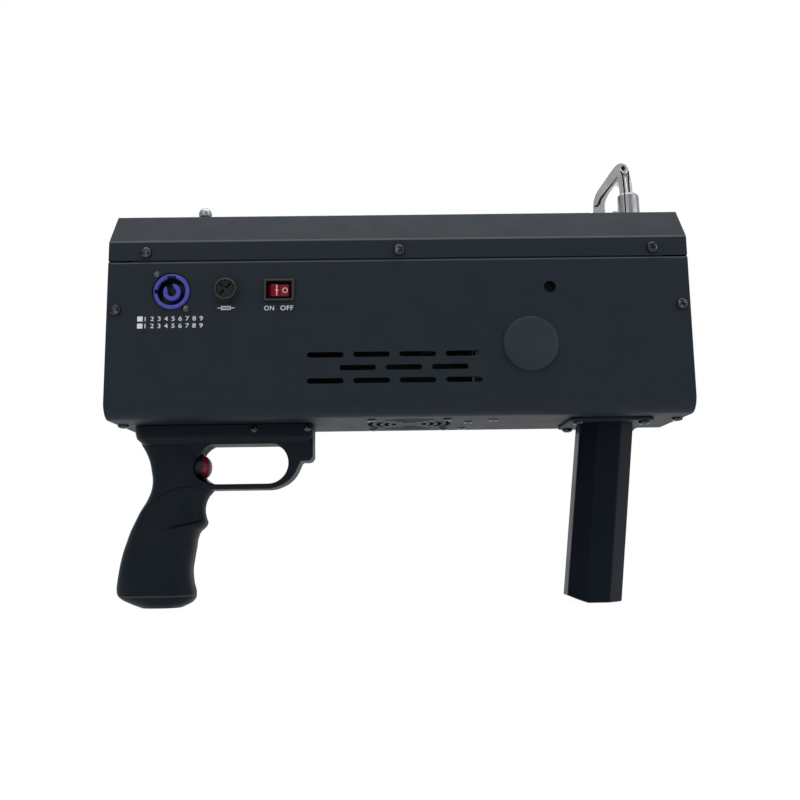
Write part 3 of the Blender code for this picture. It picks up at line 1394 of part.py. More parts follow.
def hook_path():
    """Centre line of the hook from its swivel block up over the top and down to its nose."""
    shank = [(HOOK_X, 18 * MM), (HOOK_X - 0.4 * MM, 30 * MM), (HOOK_X - 1.4 * MM, 38 * MM)]
    crown_x, crown_z, radius = HOOK_X - 4.6 * MM, 38.6 * MM, 3.6 * MM
    crown = [
        (crown_x + radius * math.cos(a), crown_z + radius * math.sin(a)) for a in np.radians((20, 60, 100, 140))
    ]
    nose = [(HOOK_X - 10.2 * MM, 34.6 * MM), (HOOK_X - 15.4 * MM, 26.4 * MM), (HOOK_X - 19.6 * MM, 18.4 * MM)]
    tip = [(HOOK_X - 20.9 * MM, 12.5 * MM), (HOOK_X - 20.9 * MM, 8.2 * MM)]
    return [(x, from_case(CASE_HEIGHT + z)) for x, z in shank + crown + nose + tip]


def hook_block_heights():
    """Bottom and top of the swivel block: its lower bar lies just under the ball."""
    bar = 3 * MM
    bottom = STUD_BALL_HEIGHT - STUD_BALL_RADIUS - bar - 0.4 * MM
    return bottom, bottom + bar, 24 * MM


def gate_pivot():
    return (HOOK_X - HOOK_BLOCK_WIDTH / 2 - 2.4 * MM, 0, from_case(CASE_HEIGHT + 7.6 * MM))


def snap_hook(hook_finish, pin_finish):
    """Swivel snap hook: a windowed block turns on the stud's neck, and a sprung gate shuts the hook."""
    bottom, bar_top, top = hook_block_heights()
    cover = from_case(CASE_HEIGHT)
    half = HOOK_BLOCK_WIDTH / 2
    corners = [(-half, bottom), (half, bottom), (half, top), (-half, top - 3 * MM)]
    outline = [(HOOK_X + x, cover + z) for x, z in round_corners(corners, [1 * MM, 1 * MM, 4 * MM, 3 * MM])]
    solid = prism(outline, "Y", -HOOK_BLOCK_DEPTH / 2, HOOK_BLOCK_DEPTH / 2)
    axis = (HOOK_X, 0, cover)
    hook = add_part("snap_hook", solid, hook_finish, origin=axis)
    join(hook, [bar_along(hook_path(), *HOOK_BAR)])
    window = [(-half + 2.6 * MM, bar_top), (half - 2.6 * MM, bar_top)]
    window_top = STUD_BALL_HEIGHT + STUD_BALL_RADIUS + 0.6 * MM
    window += [(half - 2.6 * MM, window_top), (-half + 2.6 * MM, window_top)]
    window = [(HOOK_X + x, cover + z) for x, z in round_corners(window, [0, 0, 2 * MM, 2 * MM])]
    cut(hook, [prism(window, "Y", -CASE_WIDTH / 2, CASE_WIDTH / 2)])
    neck_hole = moved(cylinder(STUD_NECK_RADIUS + RUNNING, bottom - 2 * MM, bar_top + 1 * MM, 20), axis)
    cut(hook, [neck_hole])

    pivot = gate_pivot()
    ear = 2.4 * MM
    ears = []
    for side in (-1, 1):
        root = pivot[0] + ear + 1.2 * MM
        shape_points = [
            (pivot[0] - ear, pivot[2] - ear),
            (root, pivot[2] - ear),
            (root, pivot[2] + ear),
            (pivot[0] - ear, pivot[2] + ear),
        ]
        shape_points = round_corners(shape_points, [ear * 0.9, 0, 0, ear * 0.9])
        ears.append(prism(shape_points, "Y", side * 2.6 * MM, side * 4.4 * MM))
    join(hook, ears)
    pin_hole = moved(cylinder(GATE_PIN_RADIUS + RUNNING, -8 * MM, 8 * MM, 12), pivot, "Y")
    cut(hook, [pin_hole])

    nose_x = HOOK_X - 20.9 * MM + HOOK_BAR[0] / 2
    reach = pivot[0] - nose_x - 0.5 * MM
    arm = [(0, 1.9 * MM), (-reach, 1.6 * MM), (-reach, -1.6 * MM), (0, -1.9 * MM)]
    arm = [(pivot[0] + x, pivot[2] + z) for x, z in round_corners(arm, [0, 1 * MM, 1 * MM, 0])]
    gate = add_part("hook_gate", prism(arm, "Y", -2.2 * MM, 2.2 * MM), hook_finish, origin=pivot)
    join(gate, [moved(cylinder(2 * MM, -2.2 * MM, 2.2 * MM, 16), pivot, "Y")])
    cut(gate, [moved(cylinder(GATE_PIN_RADIUS + RUNNING, -8 * MM, 8 * MM, 12), pivot, "Y")])
    pin = cylinder(GATE_PIN_RADIUS, -4.4 * MM, 4.4 * MM, 12)
    add_part("gate_pin", moved(pin, pivot, "Y"), pin_finish, origin=pivot)


def main():
    clear_scene()
    paint = make_finish("black_paint", (0.017, 0.023, 0.03), 0.55)
    grip_plastic = make_finish("gloss_black_plastic", (0.008, 0.012, 0.018), 0.3)
    matt_plastic = make_finish("matt_black_plastic", (0.012, 0.014, 0.016), 0.5)
    plug_plastic = make_finish("plug_plastic", (0.021, 0.03, 0.04), 0.5)
    blue_plastic = make_finish("inlet_blue", (0.08, 0.08, 0.5), 0.35)
    red_plastic = make_finish("rocker_red", (0.25, 0.01, 0.02), 0.25)
    crimson_plastic = make_finish("trigger_crimson", (0.16, 0.008, 0.03), 0.3)
    chrome = make_finish("chrome", (0.75, 0.75, 0.76), 0.12, 1.0)
    screw_steel = make_finish("black_screw", (0.03, 0.035, 0.04), 0.3, 0.9)
    steel = make_finish("stainless_steel", (0.45, 0.44, 0.42), 0.35, 1.0)
    zinc = make_finish("zinc_plate", (0.4, 0.41, 0.42), 0.4, 1.0)
    insulation = make_finish("heater_insulation", (0.6, 0.57, 0.5), 0.9)
    nylon = make_finish("white_nylon", (0.7, 0.7, 0.66), 0.5)
    board_green = make_finish("board_green", (0.01, 0.09, 0.04), 0.5)
    glass = make_finish("fuse_glass", (0.7, 0.75, 0.75), 0.1)

    lower_tray(paint)
    top_cover(paint)
    end_plate("rear_end_plate", -1, paint)
    end_plate("front_end_plate", 1, paint)
    wall_screws(screw_steel)
    mains_inlet(blue_plastic, blue_plastic, screw_steel)
    fuse_holder(matt_plastic, glass)
    power_switch(matt_plastic, red_plastic)
    filler_plug(plug_plastic)
    feed_hopper(zinc)
    feed_auger(steel)
    feed_gears(nylon, steel)
    feed_motor(zinc, zinc)
    heater(steel, insulation, zinc)
    fan(matt_plastic, matt_plastic, screw_steel)
    power_supply(zinc)
    control_board(board_green)
    grip_shell("left_grip_shell", -1, grip_plastic)
    grip_shell("right_grip_shell", 1, grip_plastic)
    trigger(matt_plastic, crimson_plastic)
    front_grip(grip_plastic, paint, screw_steel)
    ball_stud("strap_stud", STUD_X, chrome)
    ball_stud("hook_stud", HOOK_X, chrome)
    snap_hook(chrome, steel)


main()
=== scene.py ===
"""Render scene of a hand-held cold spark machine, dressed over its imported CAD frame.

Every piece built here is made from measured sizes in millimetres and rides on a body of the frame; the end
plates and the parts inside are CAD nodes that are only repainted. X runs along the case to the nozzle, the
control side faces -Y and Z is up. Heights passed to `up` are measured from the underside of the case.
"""

from __future__ import annotations

import logging
import math
from dataclasses import dataclass, field, replace
from enum import Enum
from typing import ClassVar, Iterable, Sequence

import bmesh
import bpy
import numpy as np
from mathutils import Matrix, Vector

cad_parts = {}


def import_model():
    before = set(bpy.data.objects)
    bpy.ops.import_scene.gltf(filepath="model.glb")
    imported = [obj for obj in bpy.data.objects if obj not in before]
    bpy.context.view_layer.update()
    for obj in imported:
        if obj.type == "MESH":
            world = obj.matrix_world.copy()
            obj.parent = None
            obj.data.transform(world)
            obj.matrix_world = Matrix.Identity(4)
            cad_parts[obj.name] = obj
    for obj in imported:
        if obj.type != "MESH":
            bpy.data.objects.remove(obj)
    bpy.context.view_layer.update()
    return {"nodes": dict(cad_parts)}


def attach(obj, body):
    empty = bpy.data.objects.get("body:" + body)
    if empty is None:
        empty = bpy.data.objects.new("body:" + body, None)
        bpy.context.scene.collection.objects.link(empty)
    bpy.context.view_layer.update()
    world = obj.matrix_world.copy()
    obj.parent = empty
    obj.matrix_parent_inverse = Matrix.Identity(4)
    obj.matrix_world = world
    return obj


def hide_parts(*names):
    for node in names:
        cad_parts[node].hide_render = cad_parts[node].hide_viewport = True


LOG = logging.getLogger("spark_machine")

Pair = tuple[float, float]
Triple = tuple[float, float, float]
Outline = np.ndarray
Socket = bpy.types.NodeSocket

MM = 0.001

# Sizes of the case, and places of what is fixed to it
CASE_Z = 121.0
HALF_LENGTH = 190.0
HALF_WIDTH = 47.0
CASE_HEIGHT = 140.6
SHEET = 1.2
SEAT = 0.3
SEAM = 103.7
SEAM_GAP = 0.8
FOLD = 116.9
SLOPE = 17.9
CONTROL_HEIGHT = 83.0
INLET_X = -148.2
FUSE_X = -112.4
SWITCH_X = -78.1
PLUG_PLACE = (84.8, 45.7)
PILOT_PLACE = (98.6, 83.4)
FAN_X = 6.0
FRONT_GRIP_X = 141.0
FLANGE_SHEET = 2.0
TRIGGER_HEIGHT = -28.0
NOZZLE_HEIGHT = 43.0
STUD_X = -137.2
HOOK_X = 165.5
STUD_NECK = 2.8


def up(height: float) -> float:
    """World height, in millimetres, of something measured from the case's underside."""
    return CASE_Z + height


# Outlines and curves


def outline(points: Sequence[Sequence[float]]) -> Outline:
    """An array of 2D points."""
    return np.asarray(points, dtype=float)


def circle(radius: float, segments: int = 48, centre: Pair = (0.0, 0.0), phase: float = 0.0) -> Outline:
    """Points of a circle, anticlockwise: the centre plus r cos a and r sin a."""
    angles = phase + np.linspace(0, 2 * np.pi, segments, endpoint=False)
    return np.column_stack((centre[0] + radius * np.cos(angles), centre[1] + radius * np.sin(angles)))


def rounded(points: Sequence[Sequence[float]], radii: float | Sequence[float], steps: int = 6,
            closed: bool = True) -> Outline:
    """Turns the corners of an outline into arcs.

    An arc of sweep w runs between its two tangent points. Seen from its centre it is the first point times
    sin((1 - s) w) plus the second times sin(s w), over sin w, while s goes from 0 to 1.

    Args:
        points: corners of the outline.
        radii: one radius for all the corners or one for each; 0 keeps a corner sharp.
        steps: edges in each arc.
        closed: whether the last point joins the first.

    Returns:
        The new outline.
    """
    corners = outline(points)
    sizes = np.broadcast_to(np.asarray(radii, dtype=float), (len(corners),))
    made: list[np.ndarray] = []
    for index, (corner, radius) in enumerate(zip(corners, sizes)):
        if radius <= 0 or (not closed and index in (0, len(corners) - 1)):
            made.append(corner[None])
            continue
        back = corners[index - 1] - corner
        ahead = corners[(index + 1) % len(corners)] - corner
        back, ahead = back / np.linalg.norm(back), ahead / np.linalg.norm(ahead)
        half = math.acos(float(np.clip(back @ ahead, -1, 1))) / 2
        middle = back + ahead
        centre = corner + middle / np.linalg.norm(middle) * radius / math.sin(half)
        start = corner + back * radius / math.tan(half) - centre
        end = corner + ahead * radius / math.tan(half) - centre
        turn = math.pi - 2 * half
        share = np.linspace(0, 1, steps + 1)[:, None]
        arc = start * np.sin((1 - share) * turn) + end * np.sin(share * turn)
        made.append(centre + arc / math.sin(turn))
    return np.concatenate(made)


def rectangle(width: float, height: float, centre: Pair = (0.0, 0.0), radius: float = 0.0,
              steps: int = 6) -> Outline:
    """A rectangle: half the width and half the height to each side of its centre.

    Args:
        width: size along the first axis.
        height: size along the second axis.
        centre: its middle.
        radius: radius of its corners; 0 keeps them sharp.
        steps: edges in each corner.

    Returns:
        The outline, anticlockwise.
    """
    x, y = width / 2, height / 2
    corners = outline([(-x, -y), (x, -y), (x, y), (-x, y)]) + np.asarray(centre)
    return rounded(corners, radius, steps) if radius else corners


def slot(length: float, height: float, centre: Pair, steps: int) -> Outline:
    """A rectangle with round ends, a thousandth short of half circles so that no two points meet."""
    return rectangle(length, height, centre, height / 2 * 0.999, steps)


def inset(points: Outline, distance: float, closed: bool = True) -> Outline:
    """Moves an anticlockwise outline inwards, or a path to its left.

    Each point moves along the sum of its two edges' unit normals, over 1 plus their dot product, which keeps
    every edge parallel to itself at the distance.

    Args:
        points: the outline or path.
        distance: how far it moves.
        closed: whether the last point joins the first.

    Returns:
        The moved points.
    """
    before = points - np.roll(points, 1, axis=0)
    after = np.roll(points, -1, axis=0) - points
    if not closed:
        before[0], after[-1] = after[0], before[-1]
    normals = []
    for step in (before, after):
        unit = step / np.linalg.norm(step, axis=1)[:, None]
        normals.append(np.column_stack((-unit[:, 1], unit[:, 0])))
    mitre = (normals[0] + normals[1]) / (1 + (normals[0] * normals[1]).sum(axis=1))[:, None]
    return points + mitre * distance


def anticlockwise(points: Outline) -> Outline:
    """Puts an outline in anticlockwise order, by the sign of its area.

    Args:
        points: the outline.

    Returns:
        The outline, turned round if its area was negative.
    """
    x, y = points.T
    area = float(np.sum(x * np.roll(y, -1) - np.roll(x, -1) * y))
    return points if area > 0 else points[::-1]


def hermite(table: Sequence[Pair], at: np.ndarray) -> np.ndarray:
    """Reads a smooth curve through a table.

    Between two knots it is the cubic with their values and slopes; a slope is taken from the neighbours.

    Args:
        table: (position, value) pairs in any order.
        at: positions to read.

    Returns:
        The values there.
    """
    knots, values = np.array(sorted(table), dtype=float).T
    slopes = np.gradient(values, knots)
    index = np.clip(np.searchsorted(knots, at) - 1, 0, len(knots) - 2)
    width = knots[index + 1] - knots[index]
    t = np.clip((at - knots[index]) / width, 0, 1)
    return (
        (2 * t**3 - 3 * t**2 + 1) * values[index]
        + (t**3 - 2 * t**2 + t) * width * slopes[index]
        + (3 * t**2 - 2 * t**3) * values[index + 1]
        + (t**3 - t**2) * width * slopes[index + 1]
    )


def smooth_path(points: Sequence[Pair], count: int) -> Outline:
    """A smooth curve through 2D points, each coordinate a function of the length along the chords.

    Args:
        points: the points that it passes through.
        count: how many evenly spaced points are read.

    Returns:
        The read points.
    """
    given = outline(points)
    length = np.concatenate(([0.0], np.cumsum(np.linalg.norm(np.diff(given, axis=0), axis=1))))
    at = np.linspace(0, length[-1], count)
    return np.column_stack([hermite(list(zip(length, given[:, i])), at) for i in (0, 1)])


def smooth_step(low: float | np.ndarray, high: float | np.ndarray, value: np.ndarray) -> np.ndarray:
    """0 below low, 1 above high and between them 3 s^2 - 2 s^3 of the share s that is passed."""
    share = np.clip((value - low) / (high - low), 0, 1)
    return share * share * (3 - 2 * share)


# Surfaces


class Facing(Enum):
    """The way that a surface's own Z axis is turned; the rows are its X, Y and Z axes in the world."""

    UP = ((1, 0, 0), (0, 1, 0), (0, 0, 1))
    DOWN = ((1, 0, 0), (0, -1, 0), (0, 0, -1))
    NEAR = ((1, 0, 0), (0, 0, 1), (0, -1, 0))
    FAR = ((-1, 0, 0), (0, 0, 1), (0, 1, 0))
    FRONT = ((0, 1, 0), (0, 0, 1), (1, 0, 0))


class Operation(Enum):
    """Boolean operations."""

    CUT = "DIFFERENCE"
    JOIN = "UNION"


@dataclass(frozen=True)
class Surface:
    """Closed surface: vertices in millimetres and faces that index them."""

    vertices: np.ndarray
    faces: list[tuple[int, ...]]

    def __add__(self, other: Surface) -> Surface:
        """Puts another surface beside this one.

        Args:
            other: the other surface.

        Returns:
            Both as one surface.
        """
        shift = len(self.vertices)
        faces = self.faces + [tuple(index + shift for index in face) for face in other.faces]
        return Surface(np.concatenate((self.vertices, other.vertices)), faces)

    def at(self, place: Triple, facing: Facing = Facing.UP) -> Surface:
        """Turns the surface to face a way, then moves it."""
        axes = np.asarray(facing.value, dtype=float)
        return Surface(self.vertices @ axes + np.asarray(place, dtype=float), self.faces)

    def turned(self, degrees: float) -> Surface:
        """Turns the surface about its own Z axis."""
        matrix = np.array(Matrix.Rotation(math.radians(degrees), 3, "Z"))
        return Surface(self.vertices @ matrix.T, self.faces)

    def combined(self, others: Iterable[Surface], operation: Operation) -> Surface:
        """Applies one exact Boolean.

        Args:
            others: the surfaces that are cut out or joined on, all at once.
            operation: which of the two.

        Returns:
            The result.
        """
        target = make_object("boolean_target", self)
        cutter = make_object("boolean_tool", sum_of(others))
        modifier = target.modifiers.new("boolean", "BOOLEAN")
        modifier.operation = operation.value
        modifier.object = cutter
        modifier.solver = "EXACT"
        result = read_surface(target)
        for helper in (target, cutter):
            mesh = helper.data
            bpy.data.objects.remove(helper)
            bpy.data.meshes.remove(mesh)
        return result

    def minus(self, *others: Surface) -> Surface:
        """The surface with the others cut out of it."""
        return self.combined(others, Operation.CUT)


def sum_of(surfaces: Iterable[Surface]) -> Surface:
    """Puts surfaces side by side.

    Args:
        surfaces: one or more surfaces.

    Returns:
        All of them as one.
    """
    first, *rest = surfaces
    for surface in rest:
        first = first + surface
    return first


def make_object(name: str, surface: Surface) -> bpy.types.Object:
    """Makes a mesh object in metres, without doubled points and with its faces turned outwards.

    Args:
        name: the object's name.
        surface: its shape.

    Returns:
        The object, in the scene.
    """
    mesh = bpy.data.meshes.new(name)
    mesh.from_pydata(surface.vertices * MM, [], surface.faces)
    work = bmesh.new()
    work.from_mesh(mesh)
    bmesh.ops.remove_doubles(work, verts=work.verts, dist=2e-6)
    bmesh.ops.dissolve_degenerate(work, edges=work.edges, dist=1e-6)
    bmesh.ops.recalc_face_normals(work, faces=work.faces)
    work.to_mesh(mesh)
    work.free()
    made = bpy.data.objects.new(name, mesh)
    bpy.context.scene.collection.objects.link(made)
    return made


def read_surface(source: bpy.types.Object) -> Surface:
    """Reads an object's evaluated mesh.

    Args:
        source: the object.

    Returns:
        Its mesh as a surface in millimetres.
    """
    evaluated = source.evaluated_get(bpy.context.evaluated_depsgraph_get())
    mesh = evaluated.to_mesh()
    points = np.empty(len(mesh.vertices) * 3)
    mesh.vertices.foreach_get("co", points)
    faces = [tuple(polygon.vertices) for polygon in mesh.polygons]
    evaluated.to_mesh_clear()
    return Surface(points.reshape(-1, 3) / MM, faces)


def loft(rings: np.ndarray, capped: bool = True, looped: bool = False) -> Surface:
    """Skins rings of equal length: a grid of ring by point, with a quad between each four neighbours.

    Args:
        rings: array of shape (rings, points, 3).
        capped: whether the first and last rings are filled.
        looped: whether the last ring joins the first.

    Returns:
        The skin.
    """
    count, points = rings.shape[:2]
    grid = np.arange(count * points).reshape(count, points)
    lower = grid if looped else grid[:-1]
    upper = np.roll(grid, -1, axis=0) if looped else grid[1:]
    quads = np.stack((lower, np.roll(lower, -1, axis=1), np.roll(upper, -1, axis=1), upper), axis=-1)
    faces = [tuple(quad) for quad in quads.reshape(-1, 4).tolist()]
    if capped and not looped:
        faces += [tuple(grid[0][::-1].tolist()), tuple(grid[-1].tolist())]
    return Surface(rings.reshape(-1, 3), faces)


def lathe(profile: Sequence[Pair], segments: int = 64, looped: bool = False) -> Surface:
    """Turns a profile about Z: a point (r, h) becomes the ring (r cos a, r sin a, h) for a full turn of a.

    Args:
        profile: (radius, height) points.
        segments: points in each ring.
        looped: whether the last point joins the first, which makes a ring-shaped body.

    Returns:
        The turned surface.
    """
    radii, heights = outline(profile).T
    turn = circle(1.0, segments)
    rings = np.empty((len(radii), segments, 3))
    rings[:, :, :2] = radii[:, None, None] * turn[None]
    rings[:, :, 2] = heights[:, None]
    return loft(rings, capped=False, looped=looped)


def prism(points: Outline, axis: str, start: float, end: float, edge: float | Pair = 0.0,
          steps: int = 3) -> Surface:
    """A prism with rounded end edges.

    Each ring is the outline moved inwards by r (1 - sin a) at r (1 - cos a) from the end, while a goes
    through a quarter turn.

    Args:
        points: the outline, as (y, z) for axis X, (x, z) for axis Y or (x, y) for axis Z.
        axis: the prism's direction.
        start: one end.
        end: the other end.
        edge: radius of the rounding, one for both ends or one each for start and end.
        steps: edges in the rounding.

    Returns:
        The closed surface.
    """
    first, last = edge if isinstance(edge, tuple) else (edge, edge)
    ahead = 1 if end > start else -1
    angles = np.linspace(0, np.pi / 2, steps + 1)
    layers: list[Pair] = []
    for place, radius, way in ((start, first, ahead), (end, last, -ahead)):
        curve = [(0.0, place)]
        if radius:
            curve = [(radius * (1 - math.sin(a)), place + way * radius * (1 - math.cos(a))) for a in angles]
        layers += curve if way == ahead else curve[::-1]
    return stacked(anticlockwise(points), axis, layers)


def stacked(points: Outline, axis: str, layers: Sequence[Pair]) -> Surface:
    """Skins copies of one outline: each lies across the axis at its place and is moved inwards by its inset.

    Args:
        points: the outline, anticlockwise.
        axis: the direction that the copies are spread along.
        layers: an (inset, place along the axis) pair for each copy.

    Returns:
        The closed surface.
    """
    rings = np.empty((len(layers), len(points), 3))
    order = {"X": (1, 2, 0), "Y": (0, 2, 1), "Z": (0, 1, 2)}[axis]
    for row, (inward, along) in enumerate(layers):
        flat = inset(points, inward) if inward else points
        rings[row][:, order[0]] = flat[:, 0]
        rings[row][:, order[1]] = flat[:, 1]
        rings[row][:, order[2]] = along
    return loft(rings)


def block(x: Pair, y: Pair, z: Pair, edge: float = 0.0) -> Surface:
    """A box between pairs of limits.

    Args:
        x: its limits along X.
        y: its limits along Y.
        z: its limits along Z.
        edge: radius of its edges; those along Z get half as much again.

    Returns:
        The box.
    """
    centre = ((x[0] + x[1]) / 2, (y[0] + y[1]) / 2)
    plan = rectangle(abs(x[1] - x[0]), abs(y[1] - y[0]), centre, 1.5 * edge, 3)
    return prism(plan, "Z", z[0], z[1], edge)


def sweep(path: Outline, section: np.ndarray) -> Surface:
    """Carries a section along a path in the plane Y = 0.

    A point (across, out) of the section lies at the path's point plus across times the path's normal, with
    out as its Y; the normal is the unit tangent turned by a quarter.

    Args:
        path: (x, z) points of the centre line.
        section: one section for the whole path, or one for each of its points.

    Returns:
        The bar with closed ends.
    """
    tangent = np.gradient(path, axis=0)
    tangent /= np.linalg.norm(tangent, axis=1)[:, None]
    sections = np.broadcast_to(section, (len(path), *section.shape[-2:]))
    across = sections[:, :, 0]
    rings = np.empty((len(path), across.shape[1], 3))
    rings[:, :, 0] = path[:, :1] + tangent[:, 1:] * across
    rings[:, :, 1] = sections[:, :, 1]
    rings[:, :, 2] = path[:, 1:] - tangent[:, :1] * across
    return loft(rings)


# Materials


class Pattern(Enum):
    """What a finish shows up close."""

    POWDER = "powder coat"
    MOULDED = "moulded plastic"
    POLISHED = "polished metal"
    BRUSHED = "brushed metal"
    SPANGLE = "zinc spangle"
    WOVEN = "woven wrap"
    TRACES = "board traces"
    PRINTED = "screen print"


class NodeTree:
    """Lays nodes in a tree."""

    def __init__(self, tree: bpy.types.NodeTree) -> None:
        """Keeps the tree."""
        self.tree = tree

    def feed(self, target: Socket, value: object) -> None:
        """Links an output to an input, or sets the input to a constant.

        Args:
            target: the input.
            value: the output or the constant.
        """
        if isinstance(value, bpy.types.NodeSocket):
            self.tree.links.new(value, target)
        else:
            target.default_value = value

    def add(self, kind: str, **settings: object) -> bpy.types.Node:
        """Adds a node.

        Args:
            kind: the node's type.
            settings: its properties, or its inputs with underscores for spaces. An input gets a constant or
                an output.

        Returns:
            The node.
        """
        node = self.tree.nodes.new(kind)
        for key, value in settings.items():
            if hasattr(node, key):
                setattr(node, key, value)
            else:
                self.feed(node.inputs[key.replace("_", " ")], value)
        return node

    def calculate(self, operation: str, *values: object, clamp: bool = False) -> Socket:
        """Adds one step of arithmetic.

        Args:
            operation: a Math node's operation.
            values: what it works on, each a number or an output.
            clamp: whether the result is kept between 0 and 1.

        Returns:
            The result.
        """
        node = self.add("ShaderNodeMath", operation=operation, use_clamp=clamp)
        for target, value in zip(node.inputs, values):
            self.feed(target, value)
        return node.outputs["Value"]

    def dot(self, first: object, second: object) -> Socket:
        """Adds the dot product of two vectors.

        Args:
            first: a vector or an output.
            second: a vector or an output.

        Returns:
            The product.
        """
        node = self.add("ShaderNodeVectorMath", operation="DOT_PRODUCT")
        self.feed(node.inputs[0], first)
        self.feed(node.inputs[1], second)
        return node.outputs["Value"]

    def ramp(self, value: Socket, source: Pair, target: Pair) -> Socket:
        """Maps a value in a straight line from one range to another and stops at its ends.

        Args:
            value: the value.
            source: the range that it comes from.
            target: the range that it goes to.

        Returns:
            The mapped value.
        """
        node = self.add("ShaderNodeMapRange", Value=value)
        for key, number in zip(("From Min", "From Max", "To Min", "To Max"), (*source, *target)):
            node.inputs[key].default_value = number
        return node.outputs["Result"]


class Shading(NodeTree):
    """One material's tree, with the fields that finishes are mixed from."""

    NOISE_MIDDLE: ClassVar[Pair] = (0.3, 0.7)

    def __init__(self, material: bpy.types.Material) -> None:
        """Starts from the material's own shader and the object's coordinates.

        Args:
            material: the material, which gets a tree.
        """
        material.use_nodes = True
        super().__init__(material.node_tree)
        self.shader = self.tree.nodes["Principled BSDF"]
        self.place = self.add("ShaderNodeTexCoord").outputs["Object"]

    def noise(self, size: float, detail: float = 3.0, stretch: Triple | None = None) -> Socket:
        """Adds a noise field.

        Args:
            size: size of its features in millimetres.
            detail: octaves of finer noise in it.
            stretch: scale of the coordinates along X, Y and Z before the noise is read.

        Returns:
            The field.
        """
        place = self.place
        if stretch:
            place = self.add("ShaderNodeMapping", Vector=place, Scale=stretch).outputs["Vector"]
        texture = self.add("ShaderNodeTexNoise", Vector=place, Scale=1 / (size * MM), Detail=detail)
        return texture.outputs["Fac"]

    def spread(self, value: Socket, low: float, high: float) -> Socket:
        """Maps the middle of a noise field to a range."""
        return self.ramp(value, self.NOISE_MIDDLE, (low, high))

    def mixed(self, share: Socket, first: Socket | Triple, second: Socket | Triple) -> Socket:
        """Mixes two colours; sockets 6, 7 and 2 are the Mix node's colour inputs and output.

        Args:
            share: how much of the second colour there is.
            first: one colour.
            second: the other colour.

        Returns:
            The mixed colour.
        """
        node = self.add("ShaderNodeMix", data_type="RGBA", Factor=share)
        for target, colour in zip(node.inputs[6:8], (first, second)):
            self.feed(target, (*colour, 1.0) if isinstance(colour, tuple) else colour)
        return node.outputs[2]

    def level_band(self, height: float, half: float, strength: float) -> Socket:
        """Adds a level band: its strength falls in a straight line with the distance from its height.

        Args:
            height: world height of its middle, in millimetres.
            half: distance at which it ends, in millimetres.
            strength: its value in the middle.

        Returns:
            The field.
        """
        split = self.add("ShaderNodeSeparateXYZ", Vector=self.place)
        offset = self.calculate("SUBTRACT", split.outputs["Z"], height * MM)
        return self.ramp(self.calculate("ABSOLUTE", offset), (0.0, half * MM), (strength, 0.0))

    def edges(self, radius: float) -> Socket:
        """Adds a field that is 1 on sharp edges and 0 on flats, from the turn of a rounded normal.

        Args:
            radius: reach of the rounding in millimetres.

        Returns:
            The field.
        """
        bevelled = self.add("ShaderNodeBevel", samples=4, Radius=radius * MM).outputs["Normal"]
        likeness = self.dot(bevelled, self.add("ShaderNodeNewGeometry").outputs["Normal"])
        return self.ramp(likeness, (0.9, 0.995), (1.0, 0.0))


